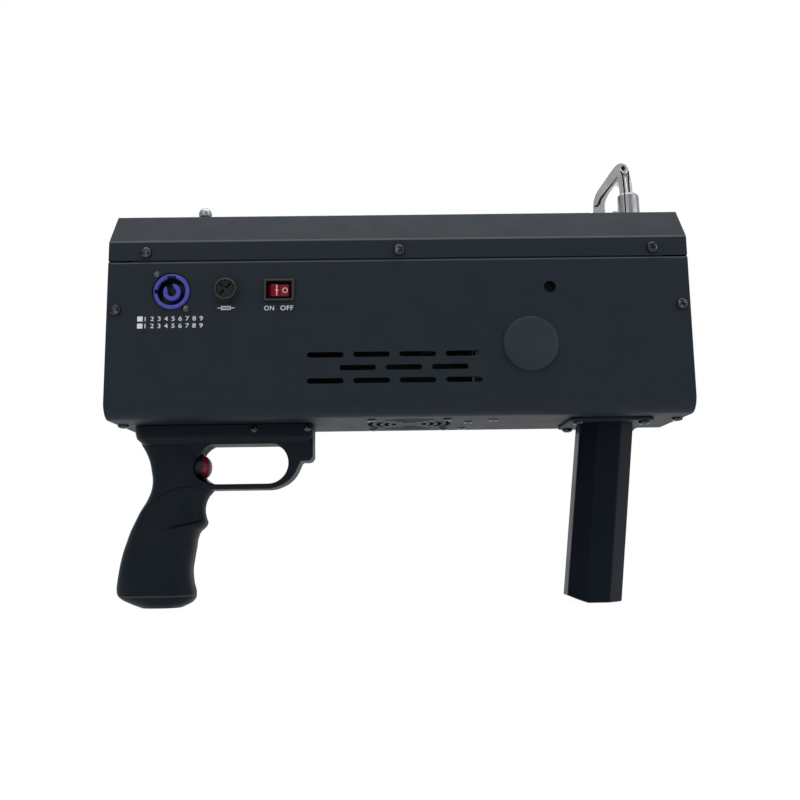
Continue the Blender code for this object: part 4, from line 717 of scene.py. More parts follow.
@dataclass(frozen=True)
class Finish:
    """One surface finish, which can carry painted highlight lines at set heights; colours are linear RGB and
    sizes are in millimetres.
    """

    name: str
    slot: str
    colour: Triple
    roughness: float
    metallic: float = 0.0
    coat: float = 0.0
    pattern: Pattern = Pattern.MOULDED
    grain: float = 0.6
    relief: float = 0.02
    mottle: float = 0.12
    smudge: float = 0.08
    wear: float = 0.0
    bare: Triple | None = None
    specular: float = 0.5
    alpha: float = 1.0
    # Painted highlights: (world height, half width, strength) of level bands painted in a lighter colour.
    highlight_bands: tuple[Triple, ...] = ()

    COAT_ROUGHNESS: ClassVar[float] = 0.08
    BUMP_STRENGTH: ClassVar[float] = 0.6
    SMUDGE_SIZE: ClassVar[float] = 14.0
    WEAR_SIZE: ClassVar[float] = 5.0
    WEAR_REACH: ClassVar[float] = 0.5
    # Colour of the painted highlight lines.
    HIGHLIGHT_COLOUR: ClassVar[Triple] = (0.088, 0.092, 0.103)

    def build(self) -> bpy.types.Material:
        """Makes the node material.

        Returns:
            The material.
        """
        material = bpy.data.materials.new(self.name)
        shading = Shading(material)
        inputs = shading.shader.inputs
        inputs["Metallic"].default_value = self.metallic
        inputs["Coat Weight"].default_value = self.coat
        inputs["Coat Roughness"].default_value = self.COAT_ROUGHNESS
        inputs["Specular IOR Level"].default_value = self.specular
        inputs["Alpha"].default_value = self.alpha
        material.diffuse_color = (*self.colour, 1.0)
        tint, height = self.fields(shading)
        cloud = shading.noise(self.SMUDGE_SIZE, 4.0)
        rough = shading.spread(cloud, self.roughness - self.smudge, self.roughness + self.smudge)
        relief = self.relief * MM
        bump = shading.add("ShaderNodeBump", Strength=self.BUMP_STRENGTH, Distance=relief, Height=height)
        shading.feed(inputs["Base Color"], tint)
        shading.feed(inputs["Roughness"], rough)
        shading.feed(inputs["Normal"], bump.outputs["Normal"])
        return material

    def fields(self, shading: Shading) -> tuple[Socket, Socket]:
        """Lays the pattern of a metal, a weave or a board, and otherwise that of paint or plastic.

        Args:
            shading: the material's tree.

        Returns:
            The colour and the height.
        """
        dark = tuple(c * (1 - self.mottle) for c in self.colour)
        light = tuple(min(c * (1 + self.mottle), 1.0) for c in self.colour)
        if self.pattern is Pattern.BRUSHED:
            streaks = shading.noise(self.grain, 2.0, (0.04, 1.0, 1.0))
            return shading.mixed(shading.spread(streaks, 0, 1), dark, light), streaks
        if self.pattern is Pattern.SPANGLE:
            voronoi = shading.add("ShaderNodeTexVoronoi", Vector=shading.place, Scale=1 / (self.grain * MM))
            cells = voronoi.outputs["Distance"]
            return shading.mixed(shading.ramp(cells, (0.0, 0.8), (0, 1)), dark, light), cells
        if self.pattern is Pattern.WOVEN:
            threads = self.threads(shading)
            return shading.mixed(threads, dark, light), threads
        if self.pattern is Pattern.TRACES:
            bricks = shading.add("ShaderNodeTexBrick", Vector=shading.place, Scale=1 / (self.grain * 8 * MM))
            return shading.mixed(bricks.outputs["Fac"], dark, light), bricks.outputs["Fac"]
        return self.coating(shading, dark, light)

    def threads(self, shading: Shading) -> Socket:
        """Lays over and under threads: the higher of two waves that cross.

        Args:
            shading: the material's tree.

        Returns:
            The height of the threads.
        """
        settings = {"Vector": shading.place, "Scale": 0.3 / (self.grain * MM)}
        waves = [shading.add("ShaderNodeTexWave", bands_direction=way, **settings) for way in "XZ"]
        return shading.calculate("MAXIMUM", *(wave.outputs["Fac"] for wave in waves))

    def coating(self, shading: Shading, dark: Triple, light: Triple) -> tuple[Socket, Socket]:
        """Lays broad mottling, then a powder coat's specks, worn edges and painted highlight lines at set
        heights.

        Args:
            shading: the material's tree.
            dark: the darkest colour.
            light: the lightest colour.

        Returns:
            The colour and the height.
        """
        fine = shading.noise(self.grain, 4.0)
        broad = shading.noise(self.grain * 40, 3.0)
        tint = shading.mixed(shading.spread(broad, 0, 1), dark, light)
        if self.pattern is Pattern.POWDER:
            speck = shading.ramp(shading.noise(self.grain * 0.8, 1.0), (0.66, 0.74), (0, 0.35))
            tint = shading.mixed(speck, tint, tuple(min(c * 2.2 + 0.004, 1.0) for c in self.colour))
        if self.wear:
            edges = shading.edges(self.WEAR_REACH)
            patches = shading.ramp(shading.noise(self.WEAR_SIZE, 4.0), (0.4, 0.7), (0, self.wear))
            bare = self.bare or tuple(c * 3 + 0.03 for c in self.colour)
            tint = shading.mixed(shading.calculate("MULTIPLY", edges, patches), tint, bare)
        # Painted highlights: lighter bands where bends and rims would catch the light.
        for height, half, strength in self.highlight_bands:
            tint = shading.mixed(shading.level_band(height, half, strength), tint, self.HIGHLIGHT_COLOUR)
        return tint, fine


PLATE_PAINT = Finish("plate_paint", "black_paint", (0.0102, 0.0168, 0.024), 0.58, pattern=Pattern.POWDER,
                     grain=0.45, relief=0.025, mottle=0.05, smudge=0.03, wear=0.3, specular=0.15)
# Painted highlight lines along the cover's fold and just below the seam, where the bends would catch the light.
FOLD_HIGHLIGHT = (CASE_Z + FOLD + 0.1, 1.0, 1.0)
SEAM_HIGHLIGHT = (CASE_Z + SEAM - 1.1, 1.0, 0.75)
# Painted highlight line round the grip's foot, where its rim would catch the light.
FOOT_HIGHLIGHT = (CASE_Z - 113.2, 0.65, 0.6)


class Palette:
    """The finishes by name, each built once when it is first asked for."""

    FINISHES: ClassVar[tuple[Finish, ...]] = (
        PLATE_PAINT,
        replace(PLATE_PAINT, name="powder_coat", highlight_bands=(FOLD_HIGHLIGHT, SEAM_HIGHLIGHT)),
        Finish("grip_gloss_highlit", "gloss_black_plastic", (0.0042, 0.0084, 0.014), 0.5, grain=1.4, relief=0.01,
               smudge=0.03, specular=0.12, highlight_bands=(FOOT_HIGHLIGHT,)),
        Finish("column_gloss", "gloss_black_plastic", (0.0026, 0.0054, 0.0112), 0.38, grain=1.1, relief=0.012,
               smudge=0.04, specular=0.09),
        Finish("matt_black", "matt_black_plastic", (0.006, 0.0075, 0.009), 0.5, grain=0.5, specular=0.3),
        Finish("satin_black", "matt_black_plastic", (0.015, 0.017, 0.019), 0.4, grain=0.5, specular=0.35),
        # Near-black for painted shade: the inlet's well, the fuse cap's recessed face, the pilot hole's cup,
        # and the hook's grooves, eye and slits.
        Finish("shade_black", "matt_black_plastic", (0.004, 0.0048, 0.0055), 0.36, grain=0.4, specular=0.2),
        Finish("plug_grey", "plug_plastic", (0.0165, 0.0255, 0.035), 0.58, grain=0.5, relief=0.025,
               specular=0.2),
        Finish("inlet_blue", "inlet_blue", (0.036, 0.04, 0.29), 0.36, coat=0.1, grain=0.8, relief=0.01,
               specular=0.35),
        Finish("rocker_red", "rocker_red", (0.125, 0.002, 0.009), 0.26, coat=0.05, grain=1.5, relief=0.008,
               specular=0.2),
        Finish("trigger_crimson", "trigger_crimson", (0.12, 0.003, 0.02), 0.34, coat=0.1, grain=0.9,
               relief=0.01, specular=0.3),
        Finish("chrome", "chrome", (0.82, 0.825, 0.84), 0.28, 1.0, pattern=Pattern.POLISHED, grain=2.5,
               relief=0.004, mottle=0.04, smudge=0.04),
        Finish("stud_chrome", "chrome", (0.34, 0.345, 0.36), 0.38, 1.0, pattern=Pattern.POLISHED, grain=2.5),
        Finish("black_nickel", "black_screw", (0.04, 0.041, 0.046), 0.16, 1.0, pattern=Pattern.POLISHED,
               grain=0.9, relief=0.01, mottle=0.2, wear=1.0, bare=(0.6, 0.6, 0.62)),
        Finish("turned_steel", "stainless_steel", (0.42, 0.41, 0.39), 0.3, 1.0, pattern=Pattern.BRUSHED,
               grain=0.5, relief=0.008),
        Finish("zinc", "zinc_plate", (0.38, 0.39, 0.4), 0.36, 1.0, pattern=Pattern.SPANGLE, grain=4.0,
               relief=0.01, mottle=0.1),
        Finish("fibre_wrap", "heater_insulation", (0.62, 0.58, 0.5), 0.9, pattern=Pattern.WOVEN, grain=1.6,
               relief=0.3, mottle=0.25),
        Finish("nylon", "white_nylon", (0.68, 0.68, 0.64), 0.45),
        Finish("solder_mask", "board_green", (0.008, 0.05, 0.024), 0.4, pattern=Pattern.TRACES, grain=1.2,
               relief=0.05, mottle=0.3),
        Finish("fuse_glass", "fuse_glass", (0.75, 0.8, 0.8), 0.08, alpha=0.4),
        Finish("white_print", "black_paint", (0.62, 0.64, 0.66), 0.6, pattern=Pattern.PRINTED, grain=0.25,
               relief=0.01, mottle=0.08),
        Finish("pink_print", "rocker_red", (0.72, 0.34, 0.37), 0.35, pattern=Pattern.PRINTED, grain=0.25,
               relief=0.01),
    )

    def __init__(self) -> None:
        """Starts with no material made."""
        self._made: dict[str, bpy.types.Material] = {}
        self._known = {finish.name: finish for finish in self.FINISHES}

    def finish(self, name: str) -> Finish:
        """The finish's description."""
        return self._known[name]

    def material(self, name: str) -> bpy.types.Material:
        """Builds a finish's material unless it is there.

        Args:
            name: the finish's name.

        Returns:
            The material.
        """
        if name not in self._made:
            self._made[name] = self._known[name].build()
        return self._made[name]


# Pieces


@dataclass
class Workshop:
    """Puts surfaces into the scene as pieces that ride on the frame's bodies."""

    palette: Palette = field(default_factory=Palette)
    made: int = 0
    bevel_segments: int = 3
    bevel_angle: float = 40.0

    def add(self, name: str, surface: Surface, finish: str, body: str = "case", replaces: Sequence[str] = (),
            sharp: float = 34.0, bevel: float = 0.0) -> None:
        """Makes one piece.

        Args:
            name: the piece's name.
            surface: its shape, in place.
            finish: the name of its finish.
            body: the body that it rides on.
            replaces: CAD nodes that it stands for.
            sharp: edges steeper than this many degrees stay sharp.
            bevel: width of a bevel on steep edges.
        """
        piece = make_object(name, surface)
        mesh = piece.data
        mesh.shade_smooth()
        mesh.set_sharp_from_angle(angle=math.radians(sharp))
        mesh.materials.append(self.palette.material(finish))
        if bevel:
            modifier = piece.modifiers.new("bevel", "BEVEL")
            modifier.width = bevel * MM
            modifier.segments = self.bevel_segments
            modifier.angle_limit = math.radians(self.bevel_angle)
            modifier.harden_normals = False
        weighted = piece.modifiers.new("normals", "WEIGHTED_NORMAL")
        weighted.keep_sharp = True
        self.palette.finish(finish).slot
        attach(piece, body)
        if replaces:
            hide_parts(*replaces)
        self.made += 1
        LOG.info("%s: %d faces on body %s", name, len(mesh.polygons), body)

    def repaint(self, nodes: dict[str, bpy.types.Object], finishes: dict[str, str]) -> None:
        """Gives carried-over CAD nodes their materials.

        Args:
            nodes: the frame's nodes by name.
            finishes: the finish of each node that is repainted.
        """
        for node, finish in finishes.items():
            slots = nodes[node].data.materials
            slots.clear()
            slots.append(self.palette.material(finish))
            self.palette.finish(finish).slot


# The case


@dataclass(frozen=True)
class Side:
    """One long side of the case: -1 is the control side and 1 the far side."""

    sign: int
    label: str

    @property
    def facing(self) -> Facing:
        """The way out of this side."""
        return Facing.NEAR if self.sign < 0 else Facing.FAR

    def place(self, x: float, height: float, proud: float = 0.0) -> Triple:
        """A point on the wall."""
        return (x, self.sign * (HALF_WIDTH + proud), up(height))


NEAR_SIDE, FAR_SIDE = Side(-1, "near"), Side(1, "far")


@dataclass
class CaseShell:
    """Folded lower tray and top cover."""

    shop: Workshop
    vent_size: Pair = (23.6, 3.6)
    vent_pitch: float = 29.8
    vent_rows: tuple[tuple[float, float, int], ...] = ((-48.2, 39.8, 4), (-27.3, 31.2, 3), (-48.2, 22.7, 4))
    grille_radii: tuple[float, ...] = (10.5, 16.0, 21.5, 27.0)
    grille_slot: float = 3.0
    grille_bridge: float = 3.5
    inlet_hole: float = 12.6
    fuse_hole: float = 6.5
    pilot_hole: float = 4.0
    plug_hole: float = 16.3
    switch_hole: Pair = (18.8, 13.0)
    floor_bend: float = 11.0
    fold_bend: float = 2.6
    seam_bend: float = 1.2
    lip: float = 10.5
    lip_cut: float = 16.0
    cutter_reach: float = 4.0

    def build(self) -> None:
        """Adds the tray and the cover."""
        # Tray and cover get the powder coat with painted highlight lines at the fold and below the seam.
        self.shop.add("tray", self.tray(), "powder_coat", replaces=["lower_tray"], bevel=0.22)
        self.shop.add("cover", self.cover(), "powder_coat", replaces=["top_cover"], bevel=0.3)

    def sheet(self, path: Sequence[Pair], radii: Sequence[float], steps: int) -> Surface:
        """A folded sheet: the path and its copy one sheet's thickness to the left, drawn out along X.

        Args:
            path: (y, height) points of the outer face.
            radii: outer radius of the bend at each point.
            steps: edges in each bend.

        Returns:
            The sheet, as long as the case.
        """
        corners = outline([(y, up(z)) for y, z in path])
        inner_radii = np.maximum(np.array(radii) - SHEET, 0)
        outer = rounded(corners, radii, steps, closed=False)
        inner = rounded(inset(corners, SHEET, closed=False), inner_radii, steps, closed=False)
        return prism(np.concatenate((outer, inner[::-1])), "X", -HALF_LENGTH, HALF_LENGTH)

    def tray(self) -> Surface:
        """Folds the tray, a U with lips joggled inwards by one sheet and a seat, and cuts every opening.

        Returns:
            The tray.
        """
        lip, seam = HALF_WIDTH - SHEET - SEAT, SEAM - SEAM_GAP / 2
        near = [(-lip, seam + self.lip), (-lip, seam), (-HALF_WIDTH, seam), (-HALF_WIDTH, 0)]
        bends = [0, 0, self.seam_bend, self.floor_bend]
        whole = self.sheet(near + [(-y, z) for y, z in near[::-1]], bends + bends[::-1], 16)
        whole = whole.minus(*self.lip_ends())
        return whole.minus(*self.controls(), *self.vents(NEAR_SIDE), *self.vents(FAR_SIDE), *self.grille())

    def lip_ends(self) -> list[Surface]:
        """Boxes that end the lips short of the end plates.

        Returns:
            The cutters.
        """
        cutters = []
        for side in (-1, 1):
            for end in (-1, 1):
                x = (end * (HALF_LENGTH - self.lip_cut), end * 2 * HALF_LENGTH)
                y = (side * (HALF_WIDTH - 4 * SHEET), side * (HALF_WIDTH - SHEET))
                cutters.append(block(x, y, (up(SEAM) - 3 * SHEET, up(SEAM) + 2 * self.lip)))
        return cutters

    def controls(self) -> list[Surface]:
        """Round holes for inlet, fuse, pilot and plug, and the switch's window.

        Returns:
            The cutters.
        """
        wall = (-HALF_WIDTH - self.cutter_reach, -HALF_WIDTH + self.cutter_reach)
        rounds = (
            (INLET_X, CONTROL_HEIGHT, self.inlet_hole), (FUSE_X, CONTROL_HEIGHT, self.fuse_hole),
            (*PILOT_PLACE, self.pilot_hole), (*PLUG_PLACE, self.plug_hole),
        )
        cutters = [prism(circle(r, 64, (x, up(z))), "Y", *wall) for x, z, r in rounds]
        window = rectangle(*self.switch_hole, (SWITCH_X, up(CONTROL_HEIGHT)))
        return cutters + [prism(window, "Y", *wall)]

    def vents(self, side: Side) -> list[Surface]:
        """Rows of evenly spaced slots.

        Args:
            side: the side of the case.

        Returns:
            The cutters.
        """
        wall = (side.sign * (HALF_WIDTH - self.cutter_reach), side.sign * (HALF_WIDTH + self.cutter_reach))
        cutters = []
        for first, z, count in self.vent_rows:
            for x in first + self.vent_pitch * np.arange(count):
                cutters.append(prism(slot(*self.vent_size, (x, up(z)), 8), "Y", *wall))
        return cutters

    def grille(self) -> list[Surface]:
        """Arc slots round the fan's axis: rings of a slot's width, each left whole at four bridges.

        Returns:
            The cutters.
        """
        cutters = []
        half = self.grille_slot / 2
        for radius in self.grille_radii:
            gap = (self.grille_bridge + self.grille_slot) / 2 / radius
            for start in np.pi / 4 + np.pi / 2 * np.arange(4):
                angles = np.linspace(start + gap, start + np.pi / 2 - gap, 18)
                arc = np.column_stack((np.cos(angles), np.sin(angles)))
                ends = np.concatenate((arc * (radius + half), arc[::-1] * (radius - half)))
                cutters.append(prism(ends + (FAN_X, 0), "Z", up(-self.cutter_reach), up(self.cutter_reach)))
        return cutters

    def cover(self) -> Surface:
        """Folds the trapezoid cover: flange, slope, top, slope, flange.

        Returns:
            The cover.
        """
        top, edge = HALF_WIDTH - SLOPE, SEAM + SEAM_GAP / 2
        path = [(HALF_WIDTH, edge), (HALF_WIDTH, FOLD), (top, CASE_HEIGHT)]
        path += [(-y, z) for y, z in path[::-1]]
        return self.sheet(path, [0] + [self.fold_bend] * 4 + [0], 6)


# Screws


def crossed(length: float, width: float, z: Pair) -> Surface:
    """Two crossed bars: the cutter of a cross recess."""
    bar = block((-length / 2, length / 2), (-width / 2, width / 2), z)
    return bar.combined([bar.turned(90)], Operation.JOIN)


class Head(Enum):
    """Kinds of screw: radius and height of the head, radius and length of the shank, and size of the cross."""

    PAN = (3.7, 2.3, 1.7, 6.0, (4.6, 1.0))
    SMALL = (2.4, 1.1, 1.2, 4.5, (2.9, 0.65))
    FLAT = (3.1, 1.2, 1.6, 6.0, (3.6, 0.8))

    def screw(self) -> Surface:
        """Turns the screw, with its head above Z = 0: the dome is (r sin a, h (0.3 + 0.7 cos a)).

        Returns:
            The screw with its recess cut.
        """
        radius, height, shank, length, cross = self.value
        angles = np.linspace(0, np.pi / 2, 9)
        dome = [(radius * math.sin(a), height * (0.3 + 0.7 * math.cos(a))) for a in angles]
        profile = dome + [(radius, 0.12), (radius - 0.12, 0), (shank, 0), (shank, -length), (0, -length)]
        return lathe(profile, 40).minus(crossed(*cross, (height * 0.38, height + 1)))


@dataclass
class Screws:
    """Cross-head screws: each kind is made once and copied into place."""

    shop: Workshop
    cover_x: Triple = (-165.5, 0.3, 167.0)
    cover_height: float = 109.2
    end_x: Pair = (-184.4, 184.4)
    end_height: float = 70.8
    fan_spacing: float = 25.0
    flange_spacing: Pair = (22.0, 20.0)
    floor_screws: tuple[tuple[float, float, Head], ...] = (
        (46, -10, Head.FLAT), (62, -19, Head.FLAT), (44, 25, Head.FLAT), (-186.5, -14, Head.PAN),
        (186.5, -16, Head.PAN),
    )
    turns: tuple[float, ...] = (12, 38, 71, 5, 52, 27)
    kinds: dict[Head, Surface] = field(init=False)

    def __post_init__(self) -> None:
        """Makes one screw of each kind."""
        self.kinds = {head: head.screw() for head in Head}

    def add(self, name: str, place: Triple, facing: Facing, turn: float, head: Head = Head.PAN,
            replaces: Sequence[str] = ()) -> None:
        """Puts one screw in.

        Args:
            name: the piece's name.
            place: the point on the sheet under its head.
            facing: the way that its head looks.
            turn: degrees that it is turned about its own axis.
            head: its kind.
            replaces: CAD nodes that it stands for.
        """
        screw = self.kinds[head].turned(turn).at(place, facing)
        self.shop.add(name, screw, "black_nickel", replaces=replaces, sharp=40)

    def dress(self, node: str, place: Triple, facing: Facing, turn: float, head: Head = Head.PAN) -> None:
        """Puts one screw in for a CAD screw."""
        self.add(f"{node}_head", place, facing, turn, head, [node])

    def build(self) -> None:
        """Adds the screws of cover, ends, fan, flange and floor."""
        sides = (NEAR_SIDE, FAR_SIDE)
        for number, (side, x) in enumerate([(side, x) for side in sides for x in self.cover_x], 1):
            place = side.place(x, self.cover_height, SEAT)
            self.dress(f"cover_screw_{number}", place, side.facing, self.turns[number - 1])
        for number, (side, x) in enumerate([(side, x) for side in sides for x in self.end_x], 1):
            place = side.place(x, self.end_height, SEAT)
            self.dress(f"end_screw_{number}", place, side.facing, self.turns[number])
        along, across = self.flange_spacing
        for number, (a, b) in enumerate([(a, b) for a in (-1, 1) for b in (-1, 1)], 1):
            place = (FAN_X + self.fan_spacing * a, self.fan_spacing * b, up(-SEAT))
            self.dress(f"fan_screw_{number}", place, Facing.DOWN, self.turns[number], Head.FLAT)
            place = (FRONT_GRIP_X + along * a, across * b, up(-FLANGE_SHEET - 2 * SEAT))
            self.dress(f"front_grip_screw_{number}", place, Facing.DOWN, self.turns[number + 1])
        for number, (x, y, head) in enumerate(self.floor_screws, 1):
            self.add(f"floor_screw_{number}", (x, y, up(0)), Facing.DOWN, self.turns[number], head)


# The control side


@dataclass
class MainsInlet:
    """Keyed round inlet with a slotted core, seen from the control side."""

    shop: Workshop
    screws: Screws
    offset: Pair = (0.25, -0.35)
    radius: float = 11.75
    wall: float = 2.55
    proud: float = 1.8
    depth: float = 24.0
    key_top: Pair = (2.9, 1.3)
    key_side: Pair = (1.5, 1.7)
    key_reach: Pair = (-10.0, 5.0)
    flange_size: Pair = (26.0, 31.0)
    flange_corner: float = 3.0
    flange_sheet: float = 2.0
    well_depth: float = 7.5
    core: float = 5.85
    core_wall: float = 2.95
    core_reach: Pair = (-6.8, 0.3)
    slot_half: float = 2.25
    slot_start: float = 1.2
    slot_turn: float = 20.0
    screw_offset: Pair = (9.7, 11.6)
    screw_turn: float = 20.0

    @property
    def bore(self) -> float:
        """Radius inside the shell."""
        return self.radius - self.wall

    def build(self) -> None:
        """Adds shell, flange, a dark inside that paints the well's shade, core and screws."""
        at = NEAR_SIDE.place(INLET_X + self.offset[0], CONTROL_HEIGHT + self.offset[1])
        shell = self.shell().at(at, Facing.NEAR)
        self.shop.add("inlet_ring", shell, "inlet_blue", replaces=["inlet_shell"], bevel=0.15)
        self.shop.add("inlet_flange", self.flange().at(at, Facing.NEAR), "matt_black")
        self.shop.add("inlet_well", self.well().at(at, Facing.NEAR), "shade_black")
        core = self.slotted_core().at(at, Facing.NEAR)
        self.shop.add("inlet_core_ring", core, "inlet_blue", replaces=["inlet_core"], bevel=0.15)
        for number, (a, b) in enumerate(((-1, 1), (1, -1)), 1):
            x, height = INLET_X + a * self.screw_offset[0], CONTROL_HEIGHT + b * self.screw_offset[1]
            place = NEAR_SIDE.place(x, height, SEAT)
            turn = self.screw_turn * number
            self.screws.dress(f"inlet_screw_{number}", place, Facing.NEAR, turn, Head.SMALL)

    def shell(self) -> Surface:
        """Turns the shell as a ring and cuts its two keyways.

        Returns:
            The shell, with the wall's face at Z = 0.
        """
        bore, top = self.bore, self.proud
        corners = [(bore, -self.depth), (self.radius, -self.depth), (self.radius, top), (bore, top)]
        keyed = lathe(rounded(corners, [0, 0, 0.8, 0.5], 4), 96, looped=True)
        half, rim = self.key_top
        keyed = keyed.minus(block((-half, half), (0, self.radius - rim), self.key_reach, 0.2))
        half, depth = self.key_side
        return keyed.minus(block((-bore - depth, 0), (-half, half), self.key_reach))

    def flange(self) -> Surface:
        """The plate behind the wall, bored for the shell.

        Returns:
            The plate.
        """
        front = -SHEET - SEAT
        plate = rectangle(*self.flange_size, (0, 0), self.flange_corner)
        hole = prism(circle(self.bore + 0.5, 64), "Z", -9, 3)
        return prism(plate, "Z", front - self.flange_sheet, front).minus(hole)

    def well(self) -> Surface:
        """A dark cup that lines the shell, turned about its axis; its black paints the shade deep in the well.

        Returns:
            The cup.
        """
        outer, inner, floor = self.bore - 0.08, self.bore - 0.45, -self.well_depth
        lining = [(inner, -0.35), (inner, floor + 0.5), (0, floor + 0.5)]
        return lathe([(0, floor), (outer, floor), (outer, -0.6), *lining], 96)

    def slotted_core(self) -> Surface:
        """Turns the core as a ring and cuts its slot.

        Returns:
            The core.
        """
        inner, (back, top) = self.core - self.core_wall, self.core_reach
        corners = [(inner, back), (self.core, back), (self.core, top), (inner, top)]
        cutter = block((-self.slot_half, self.slot_half), (self.slot_start, 9), (-9, 4))
        ring = lathe(rounded(corners, [0, 0, 0.6, 0.4], 4), 72, looped=True)
        return ring.minus(cutter.turned(self.slot_turn))


@dataclass
class FuseHolder:
    """Flanged fuse holder with a bayonet cap."""

    shop: Workshop
    bore: float = 3.4
    body_radius: float = 6.2
    body_depth: float = 29.0
    flange_radius: float = 7.8
    flange: float = 1.6
    stem_radius: float = 3.1
    cap_radius: float = 7.2
    cap_height: float = 4.4
    recess: float = 2.2
    cross: Pair = (9.2, 1.4)
    cross_turn: float = 45.0
    knurl_step: int = 20

    def build(self) -> None:
        """Adds the flanged body, the cap and the dark face that paints the shade in the cap's recess."""
        at = NEAR_SIDE.place(FUSE_X, CONTROL_HEIGHT)
        body = self.body().at(at, Facing.NEAR)
        self.shop.add("fuse_body", body, "matt_black", replaces=["fuse_holder_body"])
        cap = self.cap().at(at, Facing.NEAR)
        self.shop.add("fuse_cap_knob", cap, "satin_black", "fuse_cap", ["fuse_cap"], bevel=0.12)
        self.shop.add("fuse_cap_face", self.face().at(at, Facing.NEAR), "shade_black", "fuse_cap", bevel=0.15)

    def body(self) -> Surface:
        """Turns the bored body with its flange in front of the wall.

        Returns:
            The body.
        """
        bore, radius, rim = self.bore, self.body_radius, self.flange_radius
        ring = rounded(
            [
                (bore, -self.body_depth), (radius, -self.body_depth), (radius, SEAT), (rim, SEAT),
                (rim, self.flange), (bore, self.flange),
            ],
            [0, 0.5, 0, 0.3, 0.5, 0],
        )
        return lathe(ring, 64, looped=True)

    def levels(self) -> Triple:
        """Heights of the cap's underside, its recess and its rim, from the wall."""
        foot, top = self.flange + SEAT, self.flange + SEAT + self.cap_height
        return foot, top - self.recess, top

    def cap(self) -> Surface:
        """Turns the cap with its stem and its recess, and cuts the knurls and the crossed slot.

        Returns:
            The cap.
        """
        foot, floor, top = self.levels()
        rim, stem = self.cap_radius, self.stem_radius
        profile = rounded(
            [
                (0, -3.4), (stem, -3.4), (stem, foot), (rim, foot), (rim, top), (rim - 1.3, top),
                (rim - 1.6, floor), (0, floor),
            ],
            [0, 0, 0, 0.3, 0.8, 0.5, 0, 0], 5, closed=False,
        )
        knurls = [
            block((-0.3, 0.3), (rim - 0.25, rim + 1), (foot + 0.6, top - 1.1)).turned(degrees)
            for degrees in range(0, 360, self.knurl_step)
        ]
        recess = crossed(*self.cross, (floor - 1.9, top + 1)).turned(self.cross_turn)
        return lathe(profile, 72).minus(*knurls).minus(recess)

    def face(self) -> Surface:
        """A dark disc that fills half of the cap's recess, cut by the same cross: painted shade in the recess.

        Returns:
            The disc.
        """
        _, floor, top = self.levels()
        radius, high = self.cap_radius - 1.7, floor + 1.1
        disc = lathe([(0, floor), (radius, floor), (radius, high), (0, high)], 64)
        return disc.minus(crossed(*self.cross, (floor - 1, top + 1)).turned(self.cross_turn))


@dataclass
class PowerSwitch:
    """Rocker switch with its bezel, resting at OFF."""

    shop: Workshop
    bezel_size: Pair = (19.8, 14.8)
    bezel_depth: float = 1.9
    body_size: Pair = (18.4, 12.6)
    window_size: Pair = (16.7, 11.9)
    pivot_depth: float = 1.9
    pivot_drop: float = 0.25
    tilt: float = 10.0
    height: float = 8.4
    mark_slope: float = 1.0 / 5.2
    mark_half: float = 0.05

    ROCKER_FACE: ClassVar = (
        (-7.3, 1.0), (-5.4, -3.9), (-0.5, -2.9), (0.5, -2.9), (5.6, -3.9), (7.2, -0.6), (7.2, 1.2), (4.6, 3.6),
        (-4.6, 3.6), (-7.3, 1.4),
    )
    ROCKER_ROUNDS: ClassVar = (0, 0.5, 0.9, 0.9, 0.5, 0.4, 0, 0, 0, 0)

    def build(self) -> None:
        """Adds the housing, the rocker and its marks."""
        self.shop.add("switch_frame", self.housing(), "satin_black", replaces=["switch_housing"], bevel=0.2)
        pivot = (SWITCH_X, -HALF_WIDTH + self.pivot_depth, up(CONTROL_HEIGHT - self.pivot_drop))
        face = rounded(self.ROCKER_FACE, self.ROCKER_ROUNDS, 4)
        rocker = prism(face, "Z", -self.height / 2, self.height / 2, 0.8).turned(self.tilt).at(pivot)
        self.shop.add("rocker_paddle", rocker, "rocker_red", "rocker", ["switch_rocker"])
        slant = math.degrees(math.atan(self.mark_slope))
        bar, hoop = self.marks()
        for name, mark, x in (("rocker_mark_on", bar, -2.0), ("rocker_mark_off", hoop, 3.4)):
            depth = -2.9 - (abs(x) - 0.4) * self.mark_slope - 0.03
            level = mark.turned(slant if x < 0 else -slant).at((x, depth, 0))
            self.shop.add(name, level.turned(self.tilt).at(pivot), "pink_print", "rocker")

    def housing(self) -> Surface:
        """Joins bezel and body and cuts the window.

        Returns:
            The housing, in place.
        """
        centre, front = (SWITCH_X, up(CONTROL_HEIGHT)), -HALF_WIDTH - SEAT
        bezel = prism(rectangle(*self.bezel_size, centre, 1.1), "Y", front, front - self.bezel_depth, 0.5)
        body = prism(rectangle(*self.body_size, centre), "Y", front - 0.8, -HALF_WIDTH + 20)
        window = prism(rectangle(*self.window_size, centre, 0.5), "Y", -HALF_WIDTH - 6, -HALF_WIDTH + 8)
        return bezel.combined([body], Operation.JOIN).minus(window)

    def marks(self) -> tuple[Surface, Surface]:
        """The flat marks of the rocker: a bar with a foot, and a hoop.

        Returns:
            The marks for on and off, facing -Y.
        """
        ends = (-self.mark_half, self.mark_half)
        foot = prism(rectangle(2.6, 0.4), "Y", *ends)
        bar = prism(rectangle(0.8, 7.2), "Y", *ends).combined([foot], Operation.JOIN)
        return bar, prism(circle(1.8, 48), "Y", *ends).minus(prism(circle(1.3, 48), "Y", -1, 1))


